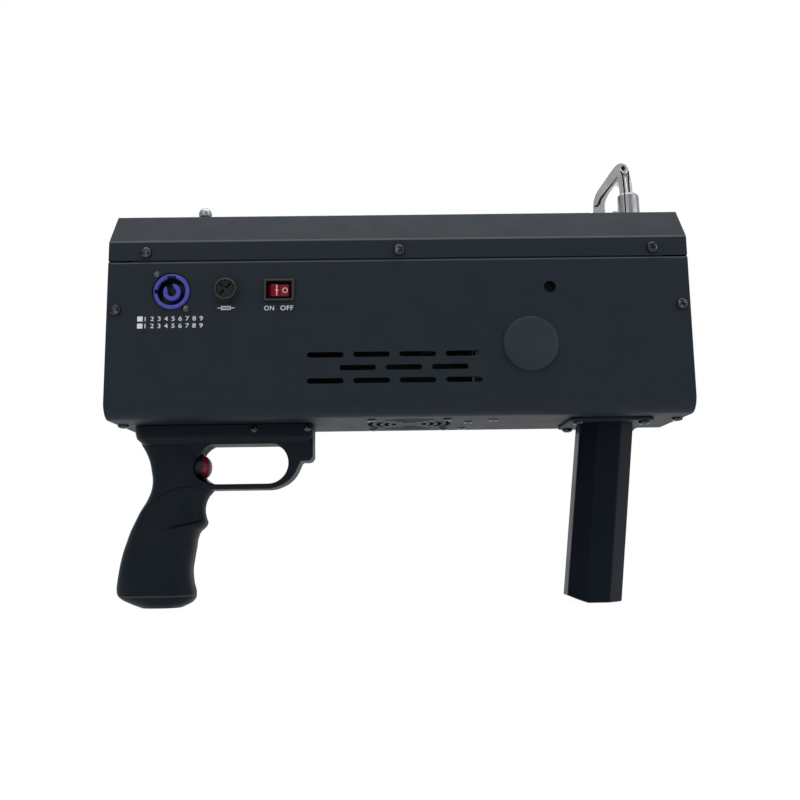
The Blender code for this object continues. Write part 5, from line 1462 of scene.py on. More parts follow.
@dataclass
class FillerPlug:
    """Round press-in plug over the hopper's filler neck, and a dark cup behind the pilot hole above it that
    paints its shade.
    """

    shop: Workshop
    pilot_radius: Pair = (4.2, 5.0)
    pilot_reach: Pair = (-7.4, -1.25)
    pilot_floor: float = 0.6

    DOME: ClassVar = (
        (0, 2.75), (6, 2.72), (11, 2.6), (15.0, 2.35), (16.6, 2.1), (17.6, 1.6), (18.1, 0.95), (18.2, 0.45),
        (18.0, SEAT),
    )
    SKIRT: ClassVar = ((16.0, SEAT), (16.0, -7.4), (15.6, -8.0), (14.5, -8.0), (14.5, -0.8), (0, -0.8))

    def build(self) -> None:
        """Adds the plug and the cup."""
        plug = lathe(self.DOME + self.SKIRT, 96).at(NEAR_SIDE.place(*PLUG_PLACE), Facing.NEAR)
        self.shop.add("plug_cap", plug, "plug_grey", "plug", ["filler_plug"])
        (inner, outer), (back, front) = self.pilot_radius, self.pilot_reach
        floor = back + self.pilot_floor
        profile = [(0, back), (outer, back), (outer, front), (inner, front), (inner, floor), (0, floor)]
        cup = lathe(profile, 48).at(NEAR_SIDE.place(*PILOT_PLACE), Facing.NEAR)
        self.shop.add("pilot_well", cup, "shade_black")


@dataclass
class Printing:
    """White screen print on the control side: generic marks only."""

    shop: Workshop
    depth: float = 0.04
    word_height: float = 3.2
    digit_height: float = 3.0
    row_heights: Pair = (64.9, 60.2)
    row_x: float = -146.2
    row_width: float = 37.6
    box_x: float = -168.1
    box_size: Pair = (3.5, 3.3)
    fuse_sign_place: Pair = (-112.6, 71.6)
    line_to_capital: float = 1.38
    letter_spacing: float = 1.12
    boldness: float = 0.03

    def build(self) -> None:
        """Adds the switch words, the fuse sign and the plain number rows."""
        self.words("print_on", "ON", self.word_height, (-84.6, 71.2), 6.3)
        self.words("print_off", "OFF", self.word_height, (-73.1, 71.2), 8.3)
        self.fuse_sign()
        for row, height in enumerate(self.row_heights, 1):
            place = (self.row_x, height)
            self.words(f"print_row_{row}", "1 2 3 4 5 6 7 8 9", self.digit_height, place, self.row_width)
            box = rectangle(*self.box_size, (self.box_x, height))
            self.place(f"print_box_{row}", prism(box, "Z", 0, self.depth))

    def place(self, name: str, flat: Surface) -> None:
        """Puts a flat surface of (x, height) shapes on the near wall."""
        self.shop.add(name, flat.at((0, -HALF_WIDTH - 0.01, CASE_Z), Facing.NEAR), "white_print")

    def words(self, name: str, text: str, height: float, centre: Pair, width: float) -> None:
        """Sets text in the built-in typeface.

        Args:
            name: the piece's name.
            text: what it says.
            height: height of a capital.
            centre: its middle, as (x, height on the wall).
            width: length of the line, which the letters are spread over.
        """
        curve = bpy.data.curves.new(name, "FONT")
        curve.body = text
        curve.align_x = "CENTER"
        curve.align_y = "CENTER"
        curve.size = height * self.line_to_capital * MM
        curve.space_character = self.letter_spacing
        curve.offset = self.boldness * MM
        curve.extrude = self.depth / 2 * MM
        helper = bpy.data.objects.new(name + "_curve", curve)
        bpy.context.scene.collection.objects.link(helper)
        flat = read_surface(helper)
        bpy.data.objects.remove(helper)
        bpy.data.curves.remove(curve)
        middle = (flat.vertices.max(axis=0) + flat.vertices.min(axis=0)) / 2
        stretch = np.array((width / np.ptp(flat.vertices[:, 0]), 1.0, 1.0))
        fitted = Surface((flat.vertices - middle) * stretch, flat.faces)
        self.place(name, fitted.at((centre[0], centre[1], self.depth / 2)))

    def fuse_sign(self) -> None:
        """Adds the usual sign of a fuse: a box on a line."""
        centre = self.fuse_sign_place
        outer = prism(rectangle(6.4, 2.6, centre), "Z", 0, self.depth)
        self.place("print_fuse", outer.minus(prism(rectangle(5.5, 1.7, centre), "Z", -1, 1)))
        self.place("print_fuse_line", prism(rectangle(11.0, 0.45, centre), "Z", 0, self.depth))


# The grips


class GripForm:
    """Measured outlines and widths of the pistol grip's handle, in millimetres from the case's underside."""

    REAR: ClassVar = (
        (0, -177.0), (-12.5, -176.8), (-16.7, -174.3), (-23.6, -171.2), (-30.5, -169.6), (-37.3, -168.6),
        (-44.1, -169.4), (-50.9, -172.1), (-57.6, -176.1), (-64.3, -179.3), (-70.9, -182.2), (-77.6, -184.4),
        (-84.2, -186.5), (-90.9, -188.0), (-97.5, -189.1), (-104.0, -189.9), (-108.5, -190.2), (-112.2, -189.5),
        (-115.4, -186.2), (-118.2, -180.4), (-121.0, -173.2),
    )
    FRONT: ClassVar = (
        (0, -128.0), (-20, -127.2), (-40.0, -126.2), (-44.5, -127.8), (-48.0, -130.6), (-52.0, -132.4),
        (-58.0, -133.0), (-62.0, -132.2), (-65.0, -131.4), (-68.0, -132.6), (-71.5, -136.2), (-75.0, -137.7),
        (-82.0, -138.8), (-89.0, -139.9), (-96.0, -140.8), (-105.0, -140.0), (-112.0, -138.4), (-116.0, -139.2),
        (-118.5, -141.8), (-121.0, -147.2),
    )
    HALF_WIDTH: ClassVar = (
        (0, 10.3), (-13, 10.4), (-20, 11.1), (-28, 12.3), (-40, 13.9), (-52, 15.3), (-66, 16.9), (-84, 17.9),
        (-104, 18.4), (-110.6, 18.3), (-112.0, 18.3), (-112.9, 19.25), (-114.4, 19.0), (-116.5, 17.7),
        (-119, 15.6), (-121, 12.6),
    )
    GROOVE_DEPTH: ClassVar[float] = 3.2

    @classmethod
    def upper_ledge(cls, x: np.ndarray) -> np.ndarray:
        """Height of the upper ledge: a parabola round x = -142 that is steeper towards the rear."""
        rise = np.where(x < -142, 0.0175, 0.013)
        return -41.7 - rise * (x + 142) ** 2

    @classmethod
    def groove(cls, x: np.ndarray, level: np.ndarray) -> np.ndarray:
        """Depth of the finger groove.

        It is the greatest depth times three smooth steps: one down from the upper ledge, seven tenths of it
        sharp and the rest slow, one up to a lower edge of two straight lines, and one that fades to the rear.

        Args:
            x: positions along the case.
            level: heights from the case's underside.

        Returns:
            The depth at each point.
        """
        upper = cls.upper_ledge(x)
        lower = -68.5 + np.where(x > -150, 0.22, -0.25) * (x + 150)
        fade = 0.8 + 18 * smooth_step(-148.0, -166.0, x)
        sharp = smooth_step(upper + 0.7, upper - 1.0, level)
        slow = smooth_step(upper + 0.7, upper - 8.0, level)
        above = smooth_step(lower - fade, lower + 1.2, level)
        return cls.GROOVE_DEPTH * (0.7 * sharp + 0.3 * slow) * above * smooth_step(-178.0, -162.0, x)

    @classmethod
    def half(cls, side: int) -> Surface:
        """One half of the handle, as level rings from front to rear.

        A ring's point at angle a, from 0 to a half turn, lies at the middle of front and rear plus half their
        distance times the 0.88th power of cos a (with its sign), and out by the half width times the 0.74th
        power of sin a, less the groove's depth times the 0.4th power of sin a. The parting plane closes it.

        Args:
            side: -1 for the control side and 1 for the far side.

        Returns:
            The half, from the parting plane outwards.
        """
        levels = np.unique(np.concatenate((np.linspace(-1.0, -112, 230), np.linspace(-112, -121, 34))))[::-1]
        front, rear = hermite(cls.FRONT, levels), hermite(cls.REAR, levels)
        width = hermite(cls.HALF_WIDTH, levels)
        angle = np.linspace(0, np.pi, 81)
        bulge = np.sign(np.cos(angle)) * np.abs(np.cos(angle)) ** 0.88
        x = ((front + rear) / 2)[:, None] + ((front - rear) / 2)[:, None] * bulge[None]
        y = width[:, None] * np.sin(angle)[None] ** 0.74
        y = np.maximum(y - cls.groove(x, levels[:, None]) * np.sin(angle)[None] ** 0.4, 0)
        heights = np.broadcast_to(up(0) + levels[:, None], x.shape)
        return loft(np.stack((x, side * (SEAT / 2 + y), heights), axis=-1))


@dataclass
class PistolGrip:
    """Two moulded halves: handle, rail and trigger guard."""

    shop: Workshop
    screws: Screws
    rail: Pair = (-180.5, -59.4)
    rail_half_width: float = 14.0
    rail_rounds: Pair = (9.0, 4.5)
    rail_depth: float = 12.5
    gap: Pair = (-137.0, -76.0)
    gap_height: float = 27.6
    guard_half: float = 10.5
    guard_bar: float = 3.6
    guard_round: float = 1.35
    guard_top: float = -8.0
    guard_rear: float = -150.0
    guard_toe: tuple[Pair, ...] = ((-86.0, 0.0), (-73.2, 5.6))
    front_block: Pair = (-67.6, 12.8)
    scoop: Triple = (-129.9, -29.0, 9.6)
    scoop_core: float = 7.3
    pocket_radius: float = 8.9
    pocket: Pair = (-160.3, -120.0)
    rail_screws: tuple[Pair, ...] = ((-98.6, -3.6), (-62.6, -3.6))
    screw_turn: float = 15.0

    RAIL_LEVELS: ClassVar = (
        (-0.3, 0.4), (-0.45, 0.12), (-0.8, 0.0), (-4.0, 0.0), (-6.5, 0.0), (-8.5, 0.0), (-9.0, 0.12),
        (-9.5, 0.45), (-11.0, 1.5), (-13.0, 2.9), (-13.3, 3.4), (-13.4, 4.1),
    )

    def build(self) -> None:
        """Adds both halves and the screws in the rail's side."""
        for side, name in ((-1, "left_grip_shell"), (1, "right_grip_shell")):
            gap, pocket, scoop = self.finger_gap(side), self.trigger_pocket(), self.scoop_cutter(side)
            handle = GripForm.half(side).minus(gap).minus(pocket).minus(scoop)
            guard = self.guard(side).minus(gap).minus(pocket).minus(scoop)
            # The handle, guard and rail get the gloss plastic with a painted highlight line round the foot.
            self.shop.add(f"{name}_handle", handle, "grip_gloss_highlit", replaces=[name], sharp=50, bevel=0.3)
            self.shop.add(f"{name}_guard", guard, "grip_gloss_highlit", sharp=50)
            self.shop.add(f"{name}_rail", self.rail_side(side), "grip_gloss_highlit", sharp=60)
        for number, (x, height) in enumerate(self.rail_screws, 1):
            for side in (NEAR_SIDE, FAR_SIDE):
                place = (x, side.sign * self.rail_half_width, up(height))
                name, turn = f"rail_screw_{side.label}_{number}", self.screw_turn * number
                self.screws.add(name, place, side.facing, turn, Head.SMALL)

    def finger_gap(self, side: int) -> Surface:
        """Cutter of the finger gap: a round-ended slot that flares by a quarter circle at the guard's face.

        Args:
            side: -1 for the control side and 1 for the far side.

        Returns:
            The cutter.
        """
        middle = (sum(self.gap) / 2, up(-self.rail_depth - self.gap_height / 2))
        shape = slot(self.gap[1] - self.gap[0], self.gap_height, middle, 20)
        size, face = self.guard_round, self.guard_half
        quarter = np.linspace(0, np.pi / 2, 6)
        flare = [(size * (math.cos(a) - 1), face + size * (math.sin(a) - 1)) for a in quarter]
        layers = [(0.0, -5.0), *flare, (-size, 40.0)]
        return stacked(anticlockwise(shape), "Y", [(inward, side * along) for inward, along in layers])

    def scoop_cutter(self, side: int) -> Surface:
        """Cutter of the round hollow beside the trigger."""
        x, height, radius = self.scoop
        return prism(circle(radius, 72, (x, up(height))), "Y", side * self.scoop_core, side * 40)

    def trigger_pocket(self) -> Surface:
        """Cutter of the bore that holds the trigger's collar."""
        (rear, front), radius = self.pocket, self.pocket_radius
        bore = lathe([(0, rear), (radius, rear), (radius, front), (0, front)], 64)
        return bore.at((0, 0, up(TRIGGER_HEIGHT)), Facing.FRONT)

    def guard(self, side: int) -> Surface:
        """Side view of guard and front block, drawn out as deep as the guard is wide.

        Args:
            side: -1 for the control side and 1 for the far side.

        Returns:
            The half, with its outer edge rounded.
        """
        top, bottom = self.guard_top, -self.rail_depth - self.gap_height - self.guard_bar
        block_x, block_depth = self.front_block
        step, front = -self.rail_depth - block_depth, self.rail[1]
        toe = [(x, bottom + rise) for x, rise in self.guard_toe]
        corners = [(self.guard_rear, top), (self.guard_rear, bottom), *toe, (block_x, step), (front, step)]
        shape = rounded([(x, up(z)) for x, z in [*corners, (front, top)]], [0, 0, 20, 20, 1.6, 4, 0], 12)
        return prism(shape, "Y", side * SEAT / 2, side * self.guard_half, (0.15, self.guard_round), 5)

    def rail_side(self, side: int) -> Surface:
        """Half of the rail: a round-cornered plan, drawn in below by a bevel and at the rear by 0.055 d^1.8.

        Args:
            side: -1 for the control side and 1 for the far side.

        Returns:
            The half, from the parting plane outwards.
        """
        rear, front = self.rail
        wide = self.rail_half_width
        corners = [(rear, -wide), (front, -wide), (front, wide), (rear, wide)]
        plan = rounded(corners, [self.rail_rounds[i] for i in (0, 1, 1, 0)], 10)
        rings = []
        for height, inward in self.RAIL_LEVELS:
            flat = inset(plan, inward) if inward else plan.copy()
            drawn = 0.055 * max(-height - 3.0, 0.0) ** 1.8
            flat[:, 0] = front + (flat[:, 0] - front) * (1 - drawn / (front - rear))
            half = flat[flat[:, 1] > 0]
            ends = [(half[0, 0], SEAT / 2), (half[-1, 0], SEAT / 2)]
            ring = np.concatenate((ends[:1], half, ends[1:]))
            rings.append(np.column_stack((ring[:, 0], side * ring[:, 1], np.full(len(ring), up(height)))))
        return loft(np.array(rings))


@dataclass
class Trigger:
    """Crimson push button in a black collar."""

    shop: Workshop
    radius: float = 8.6
    wall: float = 0.8
    rear: float = -158.0
    front: float = -134.3
    tip: float = -129.1
    shoulder: float = 0.4
    button_length: float = 15.7

    def build(self) -> None:
        """Adds the collar, and the button with its quarter-ellipse dome."""
        axis = (0.0, 0.0, up(TRIGGER_HEIGHT))
        bore = self.radius - self.wall
        corners = [(bore, self.rear), (self.radius, self.rear), (self.radius, self.front), (bore, self.front)]
        collar = lathe(rounded(corners, [0, 0, 0.5, 0.25], 4), 72, looped=True).at(axis, Facing.FRONT)
        self.shop.add("trigger_ring", collar, "matt_black", replaces=["trigger_collar"])
        reach, base = bore - SEAT, self.front + self.shoulder
        rise = self.tip - base
        dome = [(reach * math.cos(a), base + rise * math.sin(a)) for a in np.linspace(0, np.pi / 2, 14)]
        back = self.front - self.button_length
        button = lathe([(0, back), (reach, back), *dome], 72).at(axis, Facing.FRONT)
        self.shop.add("trigger_dome", button, "trigger_crimson", "trigger", ["trigger_button"])


@dataclass
class FrontGrip:
    """Leaning octagonal column under its screwed flange."""

    shop: Workshop
    radius: float = 19.7
    corner: float = 2.2
    foot_x: float = 126.8
    chamfer: float = 1.0
    heel: Pair = (12.0, 4.8)
    flange_size: Pair = (56.0, 52.0)
    flange_corner: float = 4.0
    flange_edge: float = 0.4

    def build(self) -> None:
        """Adds column and flange."""
        column = self.column().minus(self.heel_cutter())
        self.shop.add("front_column", column, "column_gloss", replaces=["front_grip"], sharp=30, bevel=0.3)
        outer = rectangle(*self.flange_size, (FRONT_GRIP_X, 0), self.flange_corner)
        plate = prism(outer, "Z", up(-FLANGE_SHEET - SEAT), up(-SEAT), self.flange_edge)
        self.shop.add("front_flange", plate, "plate_paint", replaces=["front_grip_flange"])

    def column(self) -> Surface:
        """Octagons with rounded corners, each shifted by its height times the lean, and smaller at the foot.

        Returns:
            The column.
        """
        lean = (FRONT_GRIP_X - self.foot_x) / CASE_Z
        layers = (
            (-CASE_Z, self.chamfer), (-CASE_Z + 0.3, 0.3), (-CASE_Z + self.chamfer, 0.0),
            (-FLANGE_SHEET - 2 * SEAT, 0.0),
        )
        corners = circle(1.0, 8, phase=np.pi / 8)
        rings = []
        for height, shrink in layers:
            shape = rounded(corners * (self.radius - shrink), self.corner, 4)
            level = np.full(len(shape), up(height))
            rings.append(np.column_stack((shape[:, 0] + FRONT_GRIP_X + height * lean, shape[:, 1], level)))
        return loft(np.array(rings))

    def heel_cutter(self) -> Surface:
        """Wedge that takes the heel off on the slant.

        Returns:
            The cutter.
        """
        length, rise = self.heel
        rear = self.foot_x - self.radius * math.cos(math.pi / 8)
        wedge = [(rear + length, 0), (rear - length, 2 * rise), (rear - length, -rise), (rear + length, -rise)]
        return prism(outline(wedge), "Y", -30, 30)


# The fittings on top


@dataclass
class BallStud:
    """Turned stud with a flange, a neck and a ball."""

    shop: Workshop
    node: str
    x: float
    ball: float
    ball_height: float
    flange: float = 8.5

    def build(self) -> None:
        """Adds the stud: its ball is a circle about (0, ball height), from the neck to the top."""
        start = math.asin(STUD_NECK / self.ball)
        angles = np.linspace(start, np.pi, 22)
        sphere = [(self.ball * math.sin(a), self.ball_height - self.ball * math.cos(a)) for a in angles]
        neck, rim = STUD_NECK, self.flange
        foot = rounded(
            [(0, -6), (neck, -6), (neck, SEAT), (rim, SEAT), (rim, 2.2), (rim - 1.5, 3.1), (neck, 3.1)],
            [0, 0.4, 0, 0.3, 0.6, 0.5, 0], 4, closed=False,
        )
        stud = lathe([*foot.tolist(), *sphere], 64).at((self.x, 0, up(CASE_HEIGHT)))
        self.shop.add(f"{self.node}_turned", stud, "stud_chrome", replaces=[self.node])


@dataclass
class SnapHook:
    """Swivel snap hook on its stud; outlines are (x, height) from the middle of the stud's foot."""

    shop: Workshop
    half: float = 3.8
    edge: float = 0.55
    groove_depth: float = 1.0
    # Depth below the faces of the dark bars that paint the grooves' shade.
    groove_shade_drop: float = 0.3
    pivot: Pair = (-10.6, 7.6)
    pin_radius: float = 1.1
    pin_bore: float = 1.4
    pin_half: float = 4.4
    gate_half: float = 2.2
    knuckle: float = 2.0
    ear_inside: float = 2.6
    eye_place: Pair = (-2.8, 42.4)
    eye_size: Pair = (1.45, 1.9)
    slit: Pair = (-4.1, -3.3)

    SHAPE: ClassVar = (
        (-26.3, 8.2), (-26.2, 14.3), (-25.6, 18.6), (-24.4, 22.0), (-22.9, 25.2), (-19.2, 30.5), (-15.6, 35.5),
        (-12.9, 39.3), (-10.1, 43.0), (-8.3, 45.0), (-6.6, 46.2), (-4.8, 46.8), (-2.7, 46.6), (-0.8, 45.4),
        (0.7, 43.2), (1.6, 40.2), (2.4, 35.7), (3.0, 31.4), (3.3, 27.2), (3.4, 23.7), (3.4, 17.0), (-6.6, 17.0),
        (-6.6, 20.3), (-6.7, 24.6), (-6.9, 28.0), (-7.3, 31.2), (-7.8, 31.6), (-9.4, 29.3), (-12.0, 25.9),
        (-14.1, 22.7), (-16.0, 19.2), (-17.0, 16.0), (-17.2, 12.6), (-17.2, 8.2),
    )
    LINES: ClassVar = (
        (((-7.2, 36.1), (-10.1, 32.2), (-13.9, 27.5), (-17.5, 22.9), (-20.5, 18.6), (-21.6, 15.0)), (0.5, 1.9)),
        (((-4.6, 40.4), (-3.7, 38.0), (-3.3, 35.0), (-3.1, 31.0), (-2.9, 27.0), (-2.8, 23.0)), (1.1, 1.0)),
        (((0.8, 40.4), (0.6, 37.5), (0.5, 33.0), (0.6, 28.6), (0.9, 23.0)), (1.0, 1.0)),
        (((-24.9, 13.7), (-23.4, 14.1), (-21.9, 15.2)), (1.0, 1.9)),
        (((-4.4, 39.2), (-2.6, 37.6), (-1.4, 37.3), (0.6, 38.6)), (0.7, 0.7)),
    )
    RIBS: ClassVar = (
        (((-4.9, 42.0), (-4.0, 40.3), (-3.1, 38.9)), 0.45),
        (((0.1, 40.7), (-0.3, 39.8), (-0.8, 38.9)), 0.4),
        (((-1.8, 35.2), (-1.4, 30.0), (-1.05, 24.2)), 0.5),
        (((1.5, 33.5), (1.7, 29.0), (1.85, 24.2)), 0.32),
    )

    def build(self) -> None:
        """Adds the hook with its grooves and their painted shade, its ribs, the barrel, the gate and its pin.
        """
        self.shop.add("hook_forging", self.forging(), "chrome", "hook", ["snap_hook"], sharp=45, bevel=0.2)
        self.shop.add("hook_groove_shade", self.groove_shade(), "shade_black", "hook")
        self.shop.add("hook_ribs", self.ribs(), "chrome", "hook")
        self.shop.add("hook_barrel", self.barrel(), "stud_chrome", "hook", bevel=0.2)
        self.shop.add("gate_lever", self.gate(), "chrome", "gate", ["hook_gate"])
        pin = prism(circle(self.pin_radius, 32, self.pivot_place()), "Y", -self.pin_half, self.pin_half, 0.3)
        self.shop.add("gate_rivet", pin, "turned_steel", "hook", ["gate_pin"])

    @staticmethod
    def foot() -> Triple:
        """The middle of the stud's foot."""
        return (HOOK_X, 0, up(CASE_HEIGHT))

    def pivot_place(self) -> Pair:
        """The gate's axis, as (x, z)."""
        return (HOOK_X + self.pivot[0], up(CASE_HEIGHT + self.pivot[1]))

    @staticmethod
    def path(points: Sequence[Pair], count: int) -> Outline:
        """A smooth path through points given from the stud's foot."""
        return smooth_path([(HOOK_X + x, up(CASE_HEIGHT) + z) for x, z in points], count)

    def forging(self) -> Surface:
        """Forged arm with the gate's ears: shank, crown with its eye, and flat nose.

        Returns:
            The arm, drawn out along Y, with grooves, eyes and the seat of the ball cut.
        """
        shape = outline(self.SHAPE) + (HOOK_X, up(CASE_HEIGHT))
        arm = prism(shape, "Y", -self.half, self.half, self.edge, 4)
        for side in (-1, 1):
            for line in self.LINES:
                arm = arm.minus(self.line_bar(line, side, 0.0, 1.0))
            arm = arm.minus(prism(self.eye(), "Y", side * 1.5, side * 6))
        ball = lathe([(0, 8.8), (5.1, 8.8), (5.1, 17.2), (3.4, 18.8), (0, 18.8)], 48)
        return arm.minus(ball.at(self.foot())).combined(self.ears(), Operation.JOIN)

    def line_bar(self, line: tuple[tuple[Pair, ...], Pair], side: int, top: float, spare: float) -> Surface:
        """A bar along one line of the hook's face: the cutter of its groove, or the dark bar in it that paints
        the groove's shade.

        Args:
            line: the line's points from the stud's foot, and its width at both ends.
            side: -1 for the near face and 1 for the far one.
            top: how far below the face the bar ends.
            spare: how far the bar stands out above the face.

        Returns:
            The bar.
        """
        points, widths = line
        path = self.path(points, 24)
        half = np.linspace(*widths, len(path))[:, None] / 2
        across = half * np.array([-1, 1, 1, -1])
        low, high = self.half - self.groove_depth, self.half - top + spare
        out = np.broadcast_to(side * np.array([low, low, high, high]), across.shape)
        return sweep(path, np.stack((across, out), axis=-1))

    def groove_shade(self) -> Surface:
        """Painted shade: dark bars a little below the hook's faces in its grooves, and dark fill in its eyes
        and the barrel's slits.

        Returns:
            All the dark bars.
        """
        bars = [self.line_bar(line, side, self.groove_shade_drop, 0.0) for side in (-1, 1) for line in self.LINES]
        plugs = [prism(inset(self.eye(), 0.05), "Y", side * 1.45, side * 3.0) for side in (-1, 1)]
        x = (self.slit[0] + 0.01, self.slit[1] - 0.01)
        slits = [block(x, across, (6.2, 22.4)).at(self.foot()) for across in ((-7.0, -6.8), (6.8, 7.0))]
        return sum_of(bars + plugs + slits)

    def ribs(self) -> Surface:
        """Round bright lines of crown and nose, half sunk in the hook's faces: a circle swept along each.

        Returns:
            The ribs of both faces.
        """
        turn = circle(1.0, 12)
        rods = []
        for side in (-1, 1):
            for points, radius in self.RIBS:
                section = np.column_stack((radius * turn[:, 0], side * (self.half + radius * turn[:, 1])))
                rods.append(sweep(self.path(points, 12), section))
        return sum_of(rods)

    def eye(self) -> Outline:
        """The hook's eye: an ellipse in the crown."""
        x, height = self.eye_place
        return circle(1.0, 32) * self.eye_size + (HOOK_X + x, up(CASE_HEIGHT) + height)

    def barrel(self) -> Surface:
        """Turned swivel barrel with a round shoulder, bored for the stud's neck and slit on both faces.

        Returns:
            The barrel.
        """
        bore = STUD_NECK + 0.3
        profile = rounded(
            [
                (bore, 5.8), (7.4, 5.8), (8.2, 7.4), (7.9, 23.4), (bore, 23.4), (bore, 19.0), (5.1, 17.2),
                (5.1, 8.8), (bore, 8.8),
            ],
            [0, 0.4, 0.8, 2.6, 0, 0, 0, 0, 0], 8,
        )
        barrel = lathe(profile, 72, looped=True)
        for across in ((-9.0, -6.9), (6.9, 9.0)):
            barrel = barrel.minus(block(self.slit, across, (4.0, 25.0)))
        return barrel.at(self.foot())

    def gate(self) -> Surface:
        """The sprung gate: an arm with a round end joined to its knuckle, and bored for the pin.

        Returns:
            The gate.
        """
        pivot, half = self.pivot_place(), self.gate_half
        arm = rounded([(0, 1.9), (-5.2, 1.6), (-5.2, -1.6), (0, -1.9)], [0, 1, 1, 0], 6)
        knuckle = prism(circle(self.knuckle, 40, pivot), "Y", -half, half, 0.3)
        lever = prism(arm + pivot, "Y", -half, half, 0.5).combined([knuckle], Operation.JOIN)
        return lever.minus(self.pin_hole())

    def pin_hole(self) -> Surface:
        """Cutter of the pin's bore."""
        return prism(circle(self.pin_bore, 32, self.pivot_place()), "Y", -8, 8)

    def ears(self) -> list[Surface]:
        """Two ears that carry the gate's pin.

        Returns:
            The ears, bored.
        """
        x, z = self.pivot_place()
        corners = [(x - 2.4, z - 2.4), (x + 3.6, z - 2.4), (x + 3.6, z + 2.4), (x - 2.4, z + 2.4)]
        shape = rounded(corners, [2.2, 0, 0, 2.2], 6)
        bore = self.pin_hole()
        plates = [prism(shape, "Y", side * self.ear_inside, side * self.pin_half) for side in (-1, 1)]
        return [plate.minus(bore) for plate in plates]


# Nozzle and inside


@dataclass
class Interior:
    """The nozzle tube, and materials for the CAD nodes that show as they are."""

    shop: Workshop
    nodes: dict[str, bpy.types.Object]

    TUBE: ClassVar = (
        (10.1, 125), (15, 125), (15, 185.5), (17, 185.5), (17, 188.5), (15, 188.5), (15, HALF_LENGTH),
        (13, HALF_LENGTH), (12, 188), (12, 129), (10.1, 129),
    )
    TUBE_ROUNDS: ClassVar = (0, 0, 0, 0.2, 0.2, 0, 0.3, 0.4, 0, 0, 0)
    FINISHES: ClassVar = {
        "front_end_plate": "plate_paint", "rear_end_plate": "plate_paint", "glass_fuse": "fuse_glass",
        "feed_hopper": "zinc", "feed_auger": "turned_steel", "auger_gear": "nylon",
        "motor_pinion": "turned_steel", "feed_motor": "zinc", "motor_bracket": "zinc",
        "heater_jacket": "fibre_wrap", "heater_saddle": "zinc", "fan_frame": "matt_black",
        "fan_rotor": "matt_black", "power_supply": "zinc", "control_board": "solder_mask",
    }

    def build(self) -> None:
        """Adds the tube and repaints the carried-over nodes."""
        tube = lathe(rounded(self.TUBE, self.TUBE_ROUNDS, 3), 96, looped=True)
        tube = tube.at((0, 0, up(NOZZLE_HEIGHT)), Facing.FRONT)
        self.shop.add("nozzle_pipe", tube, "turned_steel", replaces=["nozzle_tube"])
        self.shop.repaint(self.nodes, self.FINISHES)


# The studio


@dataclass(frozen=True)
class Lamp:
    """A soft rectangular light that looks at a point; sizes and places are in metres."""

    name: str
    place: Triple
    aim: Triple
    size: Pair
    power: float

    def build(self) -> None:
        """Adds the light."""
        data = bpy.data.lights.new(self.name, "AREA")
        data.shape = "RECTANGLE"
        data.size, data.size_y = self.size
        data.energy = self.power
        lamp = bpy.data.objects.new(self.name, data)
        lamp.location = self.place
        lamp.rotation_euler = (Vector(self.aim) - Vector(self.place)).to_track_quat("-Z", "Y").to_euler()
        bpy.context.scene.collection.objects.link(lamp)


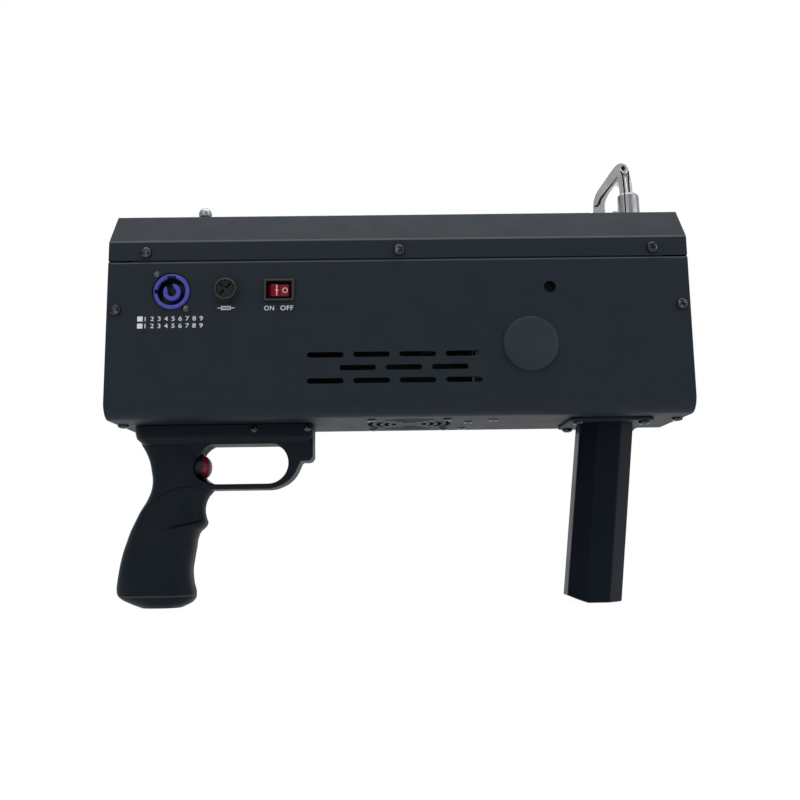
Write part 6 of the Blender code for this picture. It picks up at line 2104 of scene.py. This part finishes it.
@dataclass
class Studio:
    """Pale floor, white surroundings, soft lights and the camera at the photograph's angle."""

    focal_pixels: float = 895.64
    image_width: float = 800.0
    pitch: float = 8.904
    yaw: float = 0.486
    roll: float = -0.799
    camera_place: Triple = (-5.2, -613.1, 41.96)
    floor_half: float = 5.0
    floor_grey: float = 0.86
    floor_roughness: float = 0.7
    floor_glow: float = 1.035
    floor_share: float = 0.93
    room_way: Triple = (0.0, 0.35, 0.94)
    room_range: Pair = (-0.35, 0.95)
    room_strength: Pair = (0.1, 0.8)
    backdrop_range: Pair = (0.3, 0.8)

    LAMPS: ClassVar = (
        Lamp("top_light", (0.0, -0.1, 1.35), (0.0, 0.0, 0.2), (1.5, 0.9), 11.0),
        Lamp("front_light", (-0.55, -1.25, 0.75), (0.0, 0.0, 0.15), (1.2, 0.9), 3.6),
        Lamp("right_light", (1.15, -0.55, 0.6), (0.1, 0.0, 0.15), (0.9, 1.1), 4.3),
        Lamp("back_light", (-0.3, 1.2, 0.8), (0.0, 0.0, 0.2), (1.4, 0.6), 7.0),
    )

    def build(self) -> None:
        """Adds everything that isn't part of the object."""
        self.floor()
        self.world()
        self.camera()
        for lamp in self.LAMPS:
            lamp.build()
        bpy.context.scene.view_settings.view_transform = "Standard"

    @staticmethod
    def mirrored(nodes: NodeTree, rays: bpy.types.Node) -> Socket:
        """1 for glossy and transmission rays."""
        glossy, transmitted = rays.outputs["Is Glossy Ray"], rays.outputs["Is Transmission Ray"]
        return nodes.calculate("ADD", glossy, transmitted, clamp=True)

    def floor(self) -> None:
        """A pale floor that mostly glows nearly white for camera, glossy and transmission rays."""
        half = self.floor_half
        mesh = bpy.data.meshes.new("floor")
        corners = [(-half, -half, 0), (half, -half, 0), (half, half, 0), (-half, half, 0)]
        mesh.from_pydata(corners, [], [(0, 1, 2, 3)])
        plane = bpy.data.objects.new("floor", mesh)
        bpy.context.scene.collection.objects.link(plane)
        material = bpy.data.materials.new("floor")
        material.use_nodes = True
        nodes = NodeTree(material.node_tree)
        shader = nodes.tree.nodes["Principled BSDF"]
        shader.inputs["Base Color"].default_value = (self.floor_grey, self.floor_grey, self.floor_grey, 1)
        shader.inputs["Roughness"].default_value = self.floor_roughness
        glow = nodes.add("ShaderNodeEmission", Strength=self.floor_glow)
        rays = nodes.add("ShaderNodeLightPath")
        seen = nodes.calculate("ADD", rays.outputs["Is Camera Ray"], self.mirrored(nodes, rays), clamp=True)
        mix = nodes.add("ShaderNodeMixShader", Fac=nodes.calculate("MULTIPLY", seen, self.floor_share))
        nodes.feed(mix.inputs[1], shader.outputs["BSDF"])
        nodes.feed(mix.inputs[2], glow.outputs["Emission"])
        nodes.feed(nodes.tree.nodes["Material Output"].inputs["Surface"], mix.outputs["Shader"])
        mesh.materials.append(material)

    def world(self) -> None:
        """White behind the object for camera, glossy and transmission rays; a dim room round the camera.

        The room's strength follows the dot product of the ray's direction with one that points up and to the
        back, mapped from dim to bright. Mirrored rays see white as far as they point to the back.
        """
        world = bpy.data.worlds.new("studio")
        world.use_nodes = True
        nodes = NodeTree(world.node_tree)
        rays = nodes.add("ShaderNodeLightPath")
        direction = nodes.add("ShaderNodeTexCoord").outputs["Generated"]
        room = nodes.ramp(nodes.dot(direction, self.room_way), self.room_range, self.room_strength)
        split = nodes.add("ShaderNodeSeparateXYZ", Vector=direction)
        backdrop = nodes.ramp(split.outputs["Y"], self.backdrop_range, (0.0, 1.0))
        seen = nodes.calculate("MULTIPLY", self.mirrored(nodes, rays), backdrop)
        share = nodes.calculate("ADD", rays.outputs["Is Camera Ray"], seen, clamp=True)
        mix = nodes.add("ShaderNodeMix", data_type="FLOAT", Factor=share, A=room, B=1.0)
        background = nodes.tree.nodes["Background"]
        background.inputs["Color"].default_value = (1, 1, 1, 1)
        nodes.feed(background.inputs["Strength"], mix.outputs["Result"])
        bpy.context.scene.world = world

    def camera(self) -> None:
        """The camera fitted to the photograph's perspective: turned by yaw and pitch, then rolled."""
        pitch, yaw, roll = (math.radians(angle) for angle in (self.pitch, self.yaw, self.roll))
        ahead = Vector((math.sin(yaw) * math.cos(pitch), math.cos(yaw) * math.cos(pitch), math.sin(pitch)))
        level = Vector((math.cos(yaw), -math.sin(yaw), 0.0))
        above = level.cross(ahead)
        right = level * math.cos(roll) + above * math.sin(roll)
        top = above * math.cos(roll) - level * math.sin(roll)
        data = bpy.data.cameras.new("camera")
        data.sensor_width = 36.0
        data.lens = self.focal_pixels / self.image_width * data.sensor_width
        data.clip_start = 0.01
        camera = bpy.data.objects.new("camera", data)
        turn = Matrix((right, top, -ahead)).transposed().to_4x4()
        camera.matrix_world = Matrix.Translation(Vector(self.camera_place) * MM) @ turn
        bpy.context.scene.collection.objects.link(camera)
        bpy.context.scene.camera = camera


def main() -> None:
    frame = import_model()
    shop = Workshop()
    screws = Screws(shop)
    assemblies = (
        CaseShell(shop),
        screws,
        MainsInlet(shop, screws),
        FuseHolder(shop),
        PowerSwitch(shop),
        FillerPlug(shop),
        Printing(shop),
        PistolGrip(shop, screws),
        Trigger(shop),
        FrontGrip(shop),
        BallStud(shop, "strap_stud", STUD_X, 4.8, 12.2),
        BallStud(shop, "hook_stud", HOOK_X, 4.4, 13.6),
        SnapHook(shop),
        Interior(shop, frame["nodes"]),
    )
    for assembly in assemblies:
        LOG.info("building %s", type(assembly).__name__)
        assembly.build()
    Studio().build()
    LOG.info("made %d pieces", shop.made)


if __name__ == "__main__":
    logging.basicConfig(level=logging.INFO, format="%(name)s %(message)s")
    main()
